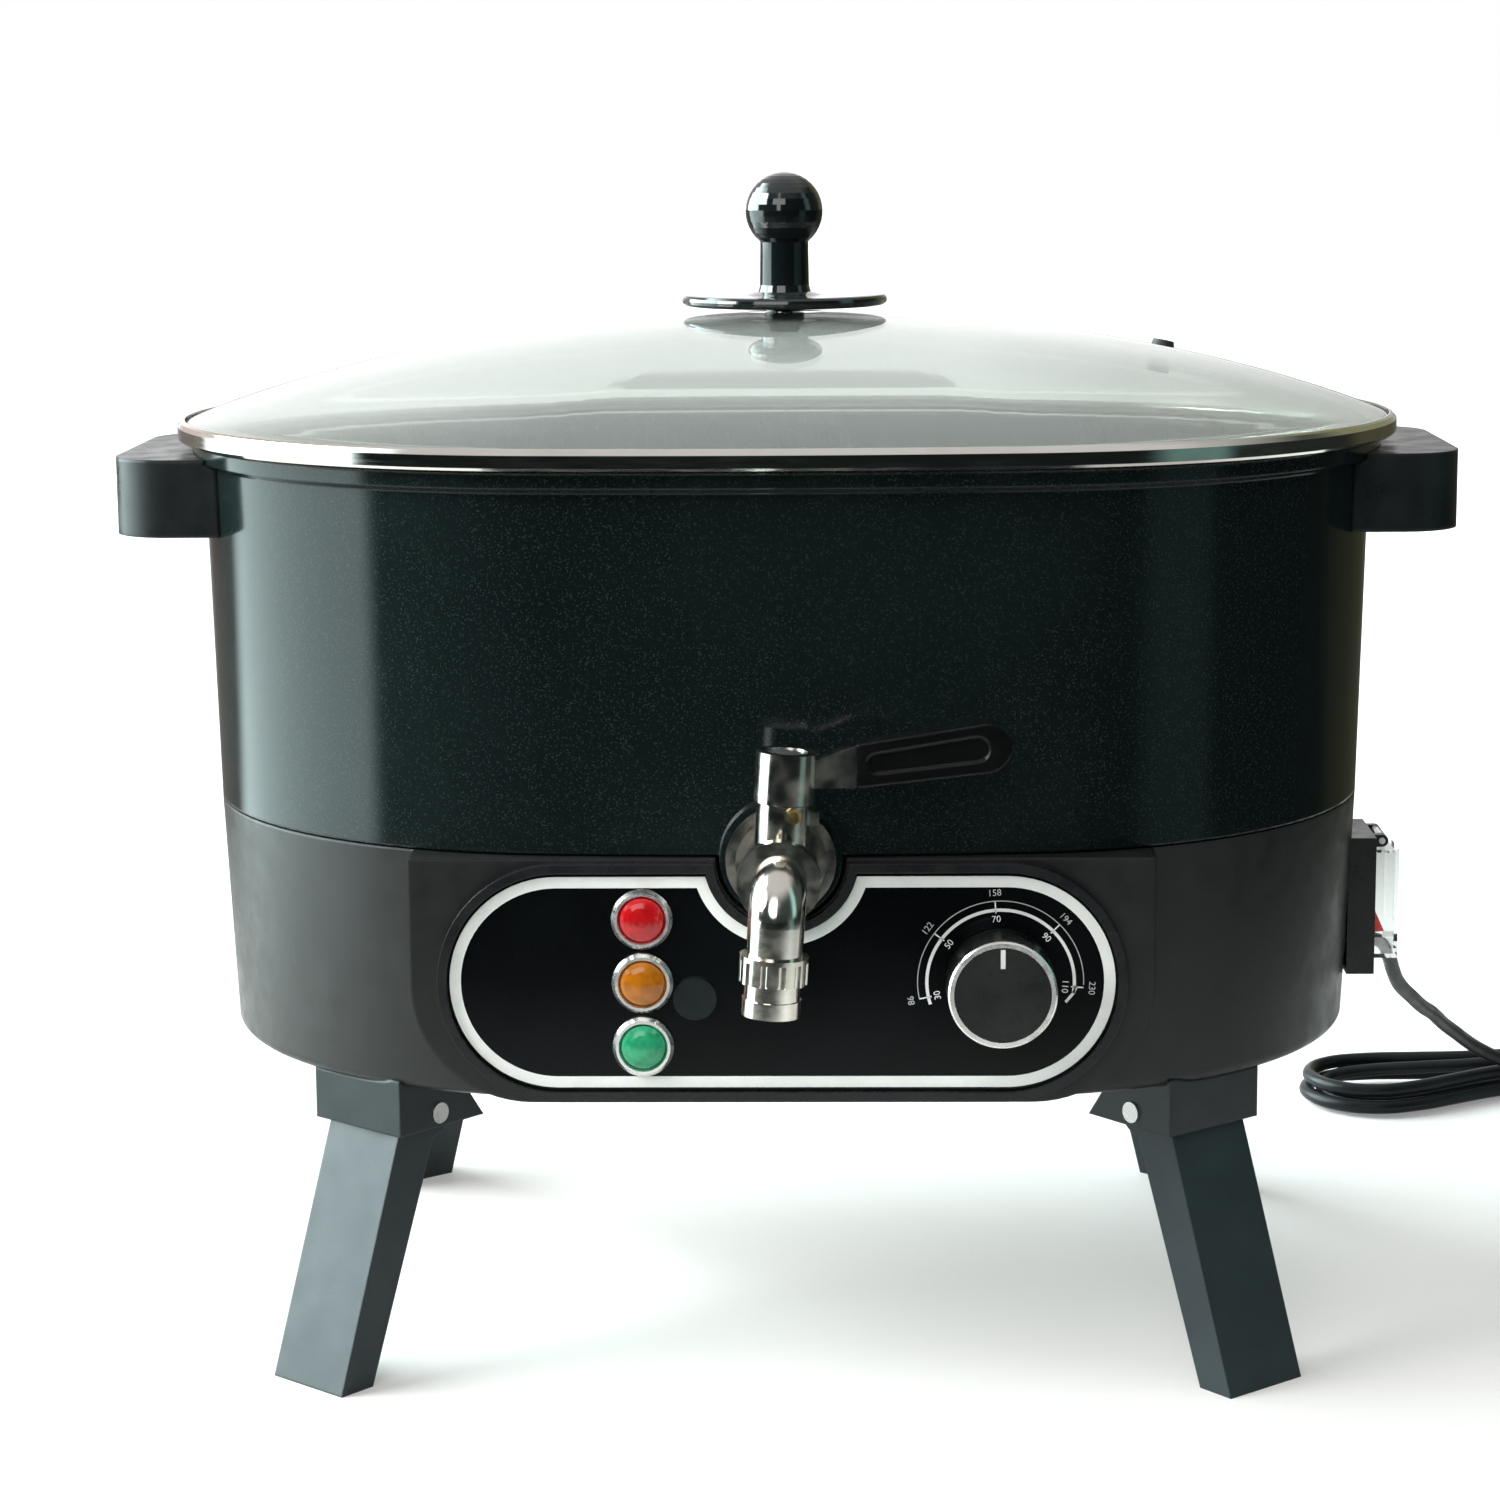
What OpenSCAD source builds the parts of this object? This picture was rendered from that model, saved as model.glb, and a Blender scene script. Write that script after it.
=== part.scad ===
// Candle wax melter: an oval cast pot with a tap, on a heated base with folding legs.
// Origin: on the floor, under the middle of the whole object. +Z up, the tap points to -Y.

/* [Body] */
// Width of the body at the seam between pot and base
body_w = 350; // [320:1:400]
// Depth of the body at the seam
body_d = 238; // [215:1:260]
// How much the long sides bow out past a straight line
front_bulge = 2.5; // [2:0.5:6]
// Height of the seam above the floor
seam_z = 160; // [155:1:175]
// Height of the pot's rim above the floor
rim_z = 268; // [255:1:300]
// Height of the base's underside above the floor
base_z = 88; // [86:1:92]
// How far the base leans in from seam to underside
base_draft = 3; // [1:0.5:4]
// How far the pot leans out from seam to rim
pot_draft = 2.2; // [1:0.1:4]
// Wall of the pot casting
pot_wall = 2.8; // [2:0.1:4]
// Wall of the plastic base
base_wall = 2.5; // [2:0.1:3.5]

/* [Lid] */
// Height of the glass dome above the pot's rim
dome_h = 36.5; // [25:0.5:50]
// Thickness of the glass
glass_t = 3.2; // [2.5:0.1:5]
// Diameter of the ball on the lid
knob_d = 23.5; // [20:0.5:32]
// Diameter of the guard disc under the ball
guard_d = 62.5; // [50:0.5:80]

/* [Side handles] */
// Length of a side handle, front to back
handle_len = 96; // [80:1:110]
// Height of a side handle
handle_h = 23; // [18:1:26]
// Reach of a side handle from the middle of the pot
handle_reach = 200; // [196:1:205]

/* [Control panel] */
// Width of the glossy panel
panel_w = 187.4; // [170:0.2:190]
// Height of the glossy panel
panel_h = 62.2; // [58:0.2:63]
// Diameter of a lamp's bright ring
lamp_d = 17.2; // [15:0.2:18]
// Distance between the lamps
lamp_step = 18.3; // [18.3:0.1:19]
// Diameter of the thermostat knob
dial_d = 30.2; // [26:0.2:34]

/* [Tap] */
// Diameter of the washer against the pot
flange_d = 30.8; // [26:0.2:33]
// Diameter of the barrel that holds the ball
barrel_d = 21; // [20.5:0.2:22]
// Diameter of the outlet pipe
pipe_d = 15.3; // [15:0.1:16]
// Lean of the whole tap to one side, in degrees
tap_roll = 3.8; // [0:0.1:5]

/* [Legs] */
// Width of a leg
leg_w = 29.2; // [26:0.2:33]
// Thickness of a leg at the top
leg_t = 15; // [13:0.1:16]
// Thickness of a leg at the foot
foot_t = 12.3; // [10:0.1:13]
// Outward splay of a leg, in degrees
leg_splay = 19; // [10:0.5:22]
// Direction that the front right leg splays in, in degrees from +X
leg_yaw = 50; // [48:1:56]

/* [Cord] */
// Diameter of the cord
cord_d = 5; // [4:0.5:5]

/* [Hidden] */
$fn = 64;

// --- the oval: two round ends and two long shallow arcs, tangent where they meet ---
end_r = body_d / 2 - front_bulge;
end_x = body_w / 2 - end_r;
long_k = (end_x * end_x - front_bulge * front_bulge) / (2 * front_bulge);
long_r = body_d / 2 + long_k;
blend = atan(end_x / long_k);

// --- pot ---
step_in = 4.6;
pot_floor_z = seam_z - 22;
floor_t = 3.5;
bead_out = 3;
bead_h = 5;
wall_top = rim_z;

// --- base ---
gap = 0.6;
edge_r = 3;
cover_t = 1.6;
pad_w = 209;
pad_y = body_d / 2 + 1.5;
pad_corner = 34;

// --- panel, all heights from its middle ---
panel_z = base_z + 36.2;
panel_t = 1.2;
bezel_t = 3;
bezel_rim = 2.8;
panel_face = pad_y + panel_t;
notch_r = 18.3;
lamp_x = -39;
lamp_hole = 6.4;
cap_x = -24.4;
cap_dz = -4.6;
dial_x = 61.2;
dial_front = panel_face + 15.8;
shaft_r = 3;

// --- tap ---
tap_z = seam_z - 0.5;
boss_y = body_d / 2 + 2.5;
seat_y = body_d / 2 - 9.5;
valve_y = -17.5;
bore_r = 5;
ball_r = 7.6;
hub_z = 19.8;
hub_top = 33.6;
gland_z = 17.2;
pipe_y = -42;
nut_top = -17.5;
nut_low = nut_top - 7.4;
spigot_low = nut_top - 5.6;
nozzle_low = nut_low - 9;

// --- switch on the right side ---
switch_z = base_z + 34;
switch_x = body_w / 2 - base_draft / 2;
frame_x = switch_x + 7.5;
rocker_x = frame_x - 3;
rocker_z = switch_z + 0.6;
cover_hinge_x = frame_x + 2.6;
cover_hinge_z = switch_z + 19.2;

// --- legs, measured from the pivot: outward, then up ---
pivot_in = 15.5;
pivot_z = base_z - 10.5;
bracket_half = 18;
bracket_low = -4.3;
cheek_in = 18;
face_x = -124.6;
face_y = -90;
pin_r = 2.5;

// --- where the middle of the pot lies in front of or behind the origin ---
nut_r = 9.35;
lid_out = 10;
front_reach = boss_y - pipe_y + nut_r;
back_reach = body_d / 2 + lid_out;
middle_y = (front_reach - back_reach) / 2;

// --- cord: its way from the strain relief down to the hank on the floor ---
relief_turn = 24;
relief_z = 95;
relief_len = 20;
hank_x = 275;
hank_y = 220;
hank_turn = 17.6;
loops = 3.25;
loop_rings = 24;
loop_pitch = cord_d + 0.8;
hank_low = cord_d / 2 + 1.3;
hank_high = hank_low + cord_d + 0.6;
cord_route = [
    [189.4, 59.2, 94.4], [195.4, 66.5, 91.4], [199.1, 75.1, 85.7], [202.2, 84.5, 78.2],
    [206, 95.1, 70.6], [213, 110, 62], [219, 124, 55], [225, 138, 49], [231, 151, 42],
    [238, 164, 35], [245, 177, 28], [252, 188, 22], [259, 197, 17], [266, 202, 13]
];
tail_route = [[60, 7, 0], [62, 15, 0.4], [66, 23, 1.8], [71, 31, 3.6], [77, 38, 4.6]];

// Points of the oval, g outside the seam's outline
function half_oval(g, n) = concat(
    [for (i = [0:n]) let (a = -90 + blend + i * (180 - 2 * blend) / n)
        [end_x + (end_r + g) * cos(a), (end_r + g) * sin(a)]],
    [for (i = [1:3]) let (a = 90 - blend + i * blend / 2)
        [(long_r + g) * cos(a), -long_k + (long_r + g) * sin(a)]]
);
function oval_points(g, n = 14) = concat(
    half_oval(g, n),
    [for (p = half_oval(g, n)) -p]
);

// Sweeps a profile drawn as (offset from the seam's outline, height) round the oval
module oval_sweep() {
    for (s = [0, 180]) rotate([0, 0, s]) {
        translate([end_x, 0, 0]) rotate([0, 0, -90 + blend])
            rotate_extrude(angle = 180 - 2 * blend) translate([end_r, 0]) children();
        translate([0, long_k, 0]) rotate([0, 0, -90 - blend])
            rotate_extrude(angle = 2 * blend) translate([long_r, 0]) children();
    }
}

// A filled oval disc whose edge is the profile drawn from offset -24 out, its middle a little thinner
module oval_disc(z, h, thinner = 0.3) {
    oval_sweep() children();
    translate([0, 0, z + thinner]) linear_extrude(h - 2 * thinner) polygon(oval_points(-15, 5));
}

// A flat oval plate, g outside the seam's outline
module oval_plate(g, z, h, thinner = 0.3) {
    oval_sweep() translate([g - 30, z]) square([30, h]);
    translate([0, 0, z + thinner]) linear_extrude(h - 2 * thinner) polygon(oval_points(g - 18, 5));
}

// A quarter round for profiles, from the point below the centre to the point beside it
function corner(cx, cz, r, from, to, n = 6) =
    [for (i = [0:n]) let (a = from + i * (to - from) / n) [cx + r * cos(a), cz + r * sin(a)]];

// A cylinder along Y between two places
module y_rod(r, from, to) {
    translate([0, from, 0]) rotate([from < to ? -90 : 90, 0, 0]) cylinder(r = r, h = abs(to - from));
}

// A cylinder along X between two places
module x_rod(r, from, to) {
    translate([from, 0, 0]) rotate([0, 90, 0]) cylinder(r = r, h = to - from);
}

// --- pot -------------------------------------------------------------------
module pot_profile() {
    out = pot_draft;
    low = pot_floor_z - floor_t;
    polygon(concat(
        [[-34, low], [-step_in - 6.5, low]],
        corner(-step_in - 6.5, low + 6.5, 6.5, -90, 0),
        [[-step_in, seam_z], [0, seam_z], [out, wall_top - bead_h - 1.5],
         [out + bead_out, wall_top - bead_h], [out + bead_out, wall_top - 1],
         [out + bead_out - 1, wall_top], [out - pot_wall + 0.8, wall_top],
         [out - pot_wall, wall_top - 0.8], [-pot_wall, seam_z + 5],
         [-pot_wall - step_in, seam_z - 1]],
        corner(-pot_wall - step_in - 5, pot_floor_z + 5, 5, 0, -90),
        [[-34, pot_floor_z]]
    ));
}

module pot() color([0.10, 0.14, 0.15]) difference() {
    union() {
        oval_sweep() pot_profile();
        translate([0, 0, pot_floor_z - floor_t + 0.4]) linear_extrude(floor_t - 0.8)
            polygon(oval_points(-25, 5));
        translate([0, 0, tap_z]) y_rod(17.2, -boss_y, -seat_y - 3);
        translate([0, 0, tap_z]) y_rod(14, -seat_y - 5, -seat_y);
        clamp_places() cylinder(r = 4, h = 9);
    }
    translate([0, 0, tap_z]) y_rod(7.15, -boss_y - 1, -seat_y + 1);
    handle_screw_places() x_rod(2.1, -8, 8);
    clamp_places() cylinder(r = 1.4, h = 9);
}

// Where screws hold the heater plate, at the lower end of the pot's bosses
module clamp_places() for (sx = [-1, 1], sy = [-1, 1])
    translate([sx * 60, sy * 38, pot_floor_z - floor_t - 8]) children();

// --- base ------------------------------------------------------------------
module pad_outline(inset = 0) {
    w = pad_w / 2 - inset;
    r = pad_corner - inset;
    low = base_z + 1.2 + inset;
    top = seam_z - gap;
    translate([-w, low + r]) square([2 * w, top - low - r - inset]);
    translate([-w + r, low]) square([2 * (w - r), top - low - inset]);
    for (s = [-1, 1]) translate([s * (w - r), low + r]) circle(r);
}

// Stands a drawing up, facing -Y, from one depth to another
module upright(front, back) {
    translate([0, -back, 0]) rotate([90, 0, 0]) linear_extrude(front - back) children();
}

module housing_profile() {
    top = seam_z - gap;
    low = -base_draft;
    polygon(concat(
        [[-9.3, base_z], [low - edge_r, base_z]],
        corner(low - edge_r, base_z + edge_r, edge_r, -90, 0),
        [[0, top], [-base_wall, top], [-base_wall, seam_z], [-step_in + 0.3, seam_z],
         [-step_in + 0.3, seam_z - 4], [-base_wall - 0.3, seam_z - 7],
         [low - base_wall, base_z + cover_t + 6], [-16, base_z + cover_t + 2.2],
         [-16, base_z + cover_t], [-9.3, base_z + cover_t]]
    ));
}

module base_housing() color([0.20, 0.19, 0.18]) difference() {
    union() {
        oval_sweep() housing_profile();
        difference() {
            upright(pad_y, body_d / 2 - 17) pad_outline();
            oval_sweep() polygon([
                [-24, base_z - 1], [-base_draft - base_wall, base_z - 1],
                [-base_draft - base_wall, base_z + cover_t + 6], [-base_wall - 0.3, seam_z - 7],
                [-step_in + 0.3, seam_z - 4], [-step_in + 0.3, seam_z + 1], [-24, seam_z + 1]
            ]);
        }
    }
    difference() {
        upright(pad_y - 2.5, body_d / 2 - 24) pad_outline(2.5);
        oval_sweep() translate([-16, base_z - 1]) square([18, cover_t + 3.2]);
    }
    translate([0, 0, tap_z]) y_rod(notch_r, -pad_y - 1, -body_d / 2 + 26);
    lamp_places() y_rod(lamp_hole, -pad_y - 1, -pad_y + 6);
    translate([cap_x, 0, panel_z + cap_dz]) y_rod(5.2, -pad_y - 1, -pad_y + 6);
    translate([dial_x, 0, panel_z]) y_rod(5, -pad_y - 1, -pad_y + 6);
    translate([switch_x - 12, -12.2, switch_z - 15.2]) cube([24, 24.4, 30.4]);
    at_relief() x_rod(4.3, -6, 6);
    edge_screw_places() cylinder(r = 1.4, h = 7);
}

module bottom_cover() color([0.45, 0.46, 0.47]) difference() {
    oval_plate(-9.6, base_z, cover_t);
    for (i = [-4:4]) translate([i * 12 - 2, -30, base_z - 1]) cube([4, 60, cover_t + 2]);
    edge_screw_places() cylinder(r = 1.4, h = 7);
    for (mx = [0, 1], my = [0, 1]) at_leg(mx, my) bracket_screw_places() cylinder(r = 1.4, h = 9);
}

module edge_screw_places() {
    for (s = [-1, 1]) translate([s * (body_w / 2 - 13), 0, base_z - 1.2]) children();
    for (s = [-1, 1]) translate([0, s * (body_d / 2 - 13), base_z - 1.2]) children();
}

module bracket_screw_places() for (s = [-1, 1]) translate([-7.5, s * 9, 7.5]) children();

module screw_up(head_r, shank_r, length) {
    cylinder(r1 = head_r - 0.4, r2 = head_r, h = 1.2);
    translate([0, 0, 1.2]) cylinder(r = shank_r, h = length);
}

module base_screws() color([0.6, 0.6, 0.6]) {
    edge_screw_places() screw_up(3, 1.4, 5);
    for (mx = [0, 1], my = [0, 1]) at_leg(mx, my) bracket_screw_places() screw_up(2.6, 1.4, 5.6);
    clamp_places() translate([0, 0, -2.4]) screw_up(3, 1.4, 8);
}

// --- control panel -----------------------------------------------------------
module stadium(w, h) {
    square([w - h, h], center = true);
    for (s = [-1, 1]) translate([s * (w - h) / 2, 0]) circle(h / 2, $fn = 96);
}

module panel_shape(grow, notch) translate([0, panel_z]) difference() {
    stadium(panel_w + 2 * grow, panel_h + 2 * grow);
    translate([0, tap_z - panel_z]) circle(notch);
}

module panel_bezel() color([0.30, 0.30, 0.30])
    upright(pad_y + bezel_t, pad_y) difference() {
        panel_shape(bezel_rim + 0.3, notch_r + 0.5);
        panel_shape(0.3, notch_r + 3);
    }

module fascia_panel() color([0.03, 0.03, 0.035]) difference() {
    upright(panel_face, pad_y) panel_shape(0, notch_r + 3.3);
    lamp_places() y_rod(lamp_hole, -panel_face - 1, -pad_y + 1);
    translate([cap_x, 0, panel_z + cap_dz]) y_rod(5.2, -panel_face - 1, -pad_y + 1);
    translate([dial_x, 0, panel_z]) y_rod(5, -panel_face - 1, -pad_y + 1);
}

module lamp_places() {
    for (i = [-1:1]) translate([lamp_x, 0, panel_z + i * lamp_step]) children();
}

module lamp_bezels() color([0.85, 0.84, 0.82]) lamp_places()
    translate([0, -panel_face, 0]) rotate([90, 0, 0]) rotate_extrude() polygon([
        [lamp_hole, 0], [lamp_d / 2, 0], [lamp_d / 2, 1], [lamp_d / 2 - 0.9, 2.3],
        [lamp_hole + 0.5, 2.3], [lamp_hole, 1.5]
    ]);

module lamp_lens(i) translate([lamp_x, -panel_face, panel_z + i * lamp_step]) rotate([90, 0, 0])
    rotate_extrude() polygon(concat(
        [[0, 0.2], [lamp_hole - 0.15, 0.2], [lamp_hole - 0.15, 1.6]],
        [for (i = [1:5]) [(lamp_hole - 0.15) * cos(i * 18), 1.6 + 2 * sin(i * 18)]]
    ));

module lamp_lens_red() color([0.8, 0.05, 0.08]) lamp_lens(1);
module lamp_lens_amber() color([0.85, 0.45, 0.05]) lamp_lens(0);
module lamp_lens_green() color([0.05, 0.6, 0.4]) lamp_lens(-1);

module lamp_bodies() color([0.9, 0.9, 0.88]) lamp_places() {
    y_rod(lamp_hole - 0.1, -panel_face - 0.2, -pad_y + 2.5);
    y_rod(lamp_hole - 1.4, -pad_y + 2.5, -pad_y + 4.6);
    for (s = [-1, 1]) translate([s * 2 - 1.1, -pad_y + 3.2, -lamp_hole - 1.6]) cube([2.2, 0.8, 4]);
}

module blank_cap() color([0.08, 0.10, 0.10]) translate([cap_x, 0, panel_z + cap_dz]) {
    y_rod(5.1, -panel_face, -pad_y + 4);
    translate([0, -panel_face, 0]) rotate([90, 0, 0]) cylinder(r1 = 6.5, r2 = 6.1, h = 0.8);
}

module at_dial() translate([dial_x, -dial_front, panel_z]) rotate([-90, 0, 0]) children();

module thermostat_knob() color([0.05, 0.05, 0.05]) at_dial() difference() {
    union() {
        cylinder(r = dial_d / 2 - 1.7, h = 3);
        translate([0, 0, 1.6]) cylinder(r1 = dial_d / 2, r2 = dial_d / 2 + 0.4, h = 13.6);
    }
    translate([0, 0, 4]) cylinder(r = shaft_r + 0.05, h = 20);
    translate([-0.7, -dial_d / 2 + 2.2, -1]) cube([1.4, 5.4, 1.8]);
}

module dial_ring() color([0.92, 0.92, 0.92]) at_dial() rotate_extrude() polygon([
    [dial_d / 2 - 1.65, 0], [dial_d / 2 - 0.5, 0], [dial_d / 2, 0.5], [dial_d / 2, 1.55],
    [dial_d / 2 - 1.65, 1.55]
]);

module dial_pointer() color([0.95, 0.95, 0.95]) at_dial()
    translate([-0.65, -dial_d / 2 + 2.25, 0]) cube([1.3, 5.3, 0.8]);

module thermostat_shaft() color([0.7, 0.7, 0.7]) at_dial()
    translate([0, 0, 4.2]) cylinder(r = shaft_r, h = dial_front - pad_y + 10);

module thermostat_body() color([0.75, 0.74, 0.70]) translate([dial_x, 0, panel_z]) difference() {
    union() {
        translate([-16, -pad_y + 2.5, -21]) cube([32, 17.5, 28]);
        y_rod(4.8, -pad_y + 2.5, -pad_y);
        for (s = [-1, 1]) translate([s * 9 - 3, -pad_y + 20, -8]) cube([6, 7, 0.8]);
    }
    y_rod(shaft_r + 0.08, -pad_y - 1, -pad_y + 16.5);
}

// --- tap: depth is measured outward from the face of the pot's boss ----------------------
module at_tap() translate([0, -boss_y, tap_z]) rotate([0, tap_roll, 0]) children();

module washer(r, hole, from, to) difference() {
    y_rod(r, from, to);
    y_rod(hole, from + 1, to - 1);
}

module elbow(r) translate([0, pipe_y + 9, -9]) rotate([90, 0, -90])
    rotate_extrude(angle = 90) translate([9, 0]) circle(r);

module tap_body() color([0.80, 0.77, 0.70]) at_tap() difference() {
    union() {
        y_rod(7, 21, -3.3);
        y_rod(12.5, -3.3, -7.5);
        y_rod(barrel_d / 2, -7.5, -29);
        y_rod(barrel_d / 2 + 0.9, -29, -33);
        translate([0, valve_y, 0]) cylinder(r = 7.5, h = hub_z - 0.4);
        translate([7, valve_y - 1.5, 13.6]) cube([2.8, 3, 4]);
        elbow(pipe_d / 2);
        translate([0, pipe_y, nut_top]) cylinder(r = pipe_d / 2, h = -9 - nut_top);
        translate([0, pipe_y, spigot_low]) cylinder(r = 6.8, h = nut_top - spigot_low);
    }
    y_rod(bore_r, 22, -33);
    translate([0, valve_y, 0]) sphere(ball_r + 0.3);
    translate([0, valve_y, 0]) cylinder(r = shaft_r + 0.06, h = hub_z + 1);
    elbow(bore_r);
    translate([0, pipe_y, spigot_low - 1]) cylinder(r = bore_r, h = -8 - spigot_low);
    translate([3, -22, gland_z]) y_rod(1.3, 1, -5);
}

module tap_flange_washer() color([0.85, 0.82, 0.75]) at_tap() washer(flange_d / 2, 7.1, -1.5, -3.3);
module tap_outer_gasket() color([0.15, 0.15, 0.15]) at_tap() washer(13.5, 7.1, 0, -1.5);
module tap_inner_gasket() color([0.75, 0.3, 0.2]) at_tap() washer(11, 7.1, 13.5, 12);

module tap_inner_nut() color([0.8, 0.8, 0.78]) at_tap() difference() {
    translate([0, 19.5, 0]) rotate([90, 0, 0]) cylinder(r = 12, h = 6, $fn = 6);
    y_rod(7.1, 21, 12);
}

module tap_ball() color([0.9, 0.9, 0.9]) at_tap() translate([0, valve_y, 0]) difference() {
    sphere(ball_r);
    x_rod(bore_r, -9, 9);
    translate([-4, -1.3, 5.4]) cube([8, 2.6, 4]);
}

module tap_stem() color([0.8, 0.8, 0.8]) at_tap() translate([0, valve_y, 0]) difference() {
    union() {
        translate([0, 0, 7.9]) cylinder(r = shaft_r, h = hub_z + 1.7);
        translate([-2.4, -1.2, 5.5]) cube([4.8, 2.4, 2.6]);
    }
    translate([0, 0, hub_z + 3.7]) cylinder(r = 1.5, h = 7);
}

// The lever and its grip: heights from the underside of the lever's hub
module at_hub() at_tap() translate([0, valve_y, hub_z]) children();
module lever_arm_shape() polygon([
    [4, 4.1], [9, 4.6], [19.4, 5.3], [18.4, 17.1], [8.6, 12.6], [4, 12.1]
]);
module lever_tang_shape() polygon([[18, 8.7], [50, 14.9], [49, 20.7], [17.5, 13.6]]);

module tap_lever() color([0.82, 0.80, 0.74]) at_hub() {
    difference() {
        union() {
            cylinder(r = 8.45, h = hub_top - hub_z);
            translate([0, 3.1, 0]) rotate([90, 0, 0]) linear_extrude(6.2) lever_arm_shape();
            translate([0, 1.5, 0]) rotate([90, 0, 0]) linear_extrude(3) lever_tang_shape();
        }
        translate([0, 0, -1]) cylinder(r = shaft_r + 0.05, h = 10.8);
        cylinder(r = 1.7, h = 20);
        translate([0, 0, hub_top - hub_z - 1.4]) cylinder(r = 5.7, h = 3);
    }
}

module lever_grip() color([0.03, 0.03, 0.03]) at_hub() difference() {
    union() {
        translate([0, 4.4, 0]) rotate([90, 0, 0]) linear_extrude(8.8) {
            polygon([[19.7, 5.6], [55.2, 12], [52.6, 25.3], [18.8, 17.6], [18.6, 17.2]]);
            translate([53.9, 18.7]) circle(6.75);
        }
        translate([59.6, 1.6, 19.9]) rotate([90, 0, 0]) cylinder(r = 1.9, h = 3.2);
    }
    translate([0, 1.52, 0]) rotate([90, 0, 0]) linear_extrude(3.04) lever_tang_shape();
    for (y = [-3.7, 5]) translate([0, y, 0]) rotate([90, 0, 0]) linear_extrude(1.4) {
        polygon([[25, 9.9], [52, 14.9], [50.7, 21.7], [23.7, 15.4]]);
        translate([51.3, 18.3]) circle(3.45);
        translate([24.4, 12.65]) circle(2.8);
    }
}

module lever_screw() color([0.9, 0.9, 0.88]) at_tap() translate([0, valve_y, 0]) {
    translate([0, 0, hub_top - 1.4]) cylinder(r = 5.5, h = 1);
    translate([0, 0, hub_z + 4.7]) cylinder(r = 1.45, h = hub_top - hub_z - 5.8);
}

module gland_screw() color([0.75, 0.55, 0.2]) at_tap() translate([3, 0, gland_z]) {
    y_rod(1.25, -21.5, -25.1);
    translate([0, -25.1, 0]) rotate([90, 30, 0]) cylinder(r = 2.2, h = 1.5, $fn = 6);
}

module outlet_nut() color([0.85, 0.82, 0.74]) at_tap() translate([0, pipe_y, 0]) difference() {
    translate([0, 0, nut_low]) cylinder(r = nut_r, h = nut_top - nut_low);
    translate([0, 0, nut_low - 1]) cylinder(r = 6.85, h = 10);
    translate([0, 0, nut_low - 1]) cylinder(r = 7.65, h = spigot_low - nut_low + 1);
    for (a = [0:30:359]) rotate([0, 0, a + 15]) translate([nut_r + 0.55, 0, nut_low - 1])
        cylinder(r = 1.25, h = 7.1);
}

module outlet_nozzle() color([0.85, 0.82, 0.74]) at_tap() translate([0, pipe_y, 0]) difference() {
    union() {
        translate([0, 0, nozzle_low + 4]) cylinder(r = 7.6, h = spigot_low - 0.1 - nozzle_low - 4);
        translate([0, 0, nozzle_low]) cylinder(r = 8.05, h = 4.5);
    }
    translate([0, 0, nozzle_low - 1]) cylinder(r = bore_r + 0.5, h = 14);
}

// --- side handles --------------------------------------------------------------
handle_top = rim_z - 3.5;

module handle_screw_places() {
    for (sx = [0, 1], sy = [-1, 1]) mirror([sx, 0, 0])
        translate([end_x + 107.5, sy * 41.5, handle_top - 12]) children();
}

module side_handle() difference() {
    translate([0, 0, handle_top - handle_h]) linear_extrude(handle_h) {
        translate([body_w / 2 - 40, -handle_len / 2]) square([handle_reach - body_w / 2 + 22, handle_len]);
        translate([handle_reach - 30, -handle_len / 2 + 18]) square([30, handle_len - 36]);
        for (s = [-1, 1]) translate([handle_reach - 18, s * (handle_len / 2 - 18)]) circle(18);
    }
    translate([end_x, 0, 0]) rotate([0, 0, -60]) rotate_extrude(angle = 120) translate([end_r, 0])
        polygon([
            [-60, seam_z], [0, seam_z], [pot_draft, wall_top - bead_h - 1.5],
            [pot_draft + bead_out + 0.2, wall_top - bead_h - 0.1],
            [pot_draft + bead_out + 0.2, rim_z + 5], [-60, rim_z + 5]
        ]);
    translate([end_x, 0, 0]) difference() {
        translate([60, -36, handle_top - handle_h - 1]) cube([handle_reach - end_x - 68, 72, handle_h - 6]);
        translate([0, 0, handle_top - handle_h - 2]) cylinder(r = end_r + pot_draft + 1.6, h = handle_h);
    }
    translate([end_x + 107.5, 0, handle_top - 12]) for (s = [-1, 1]) translate([0, s * 41.5, 0])
        x_rod(1.95, -2, 13);
}

module side_handle_right() color([0.09, 0.10, 0.10]) side_handle();
module side_handle_left() color([0.09, 0.10, 0.10]) mirror([1, 0, 0]) side_handle();

module handle_screws() color([0.7, 0.7, 0.7]) handle_screw_places() {
    x_rod(1.9, -1.2, 12);
    translate([-3.2, 0, 0]) rotate([0, 90, 0]) cylinder(r1 = 2.8, r2 = 3.4, h = 2);
}

// --- lid -------------------------------------------------------------------------
glass_edge = 8.9;
glass_low = rim_z + 1.4;
apex_z = rim_z + dome_h;
rings = 10;
ring_n = 14;

// Height of the dome at a share s of the way out from the middle to the edge
function dome_z(s) = glass_low + glass_t + (apex_z - glass_low - glass_t) * pow(1 - s * s, 0.9);
function dome_ring(s, drop) = [for (p = oval_points(glass_edge, ring_n)) [p.x * s, p.y * s, dome_z(s) - drop]];

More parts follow.
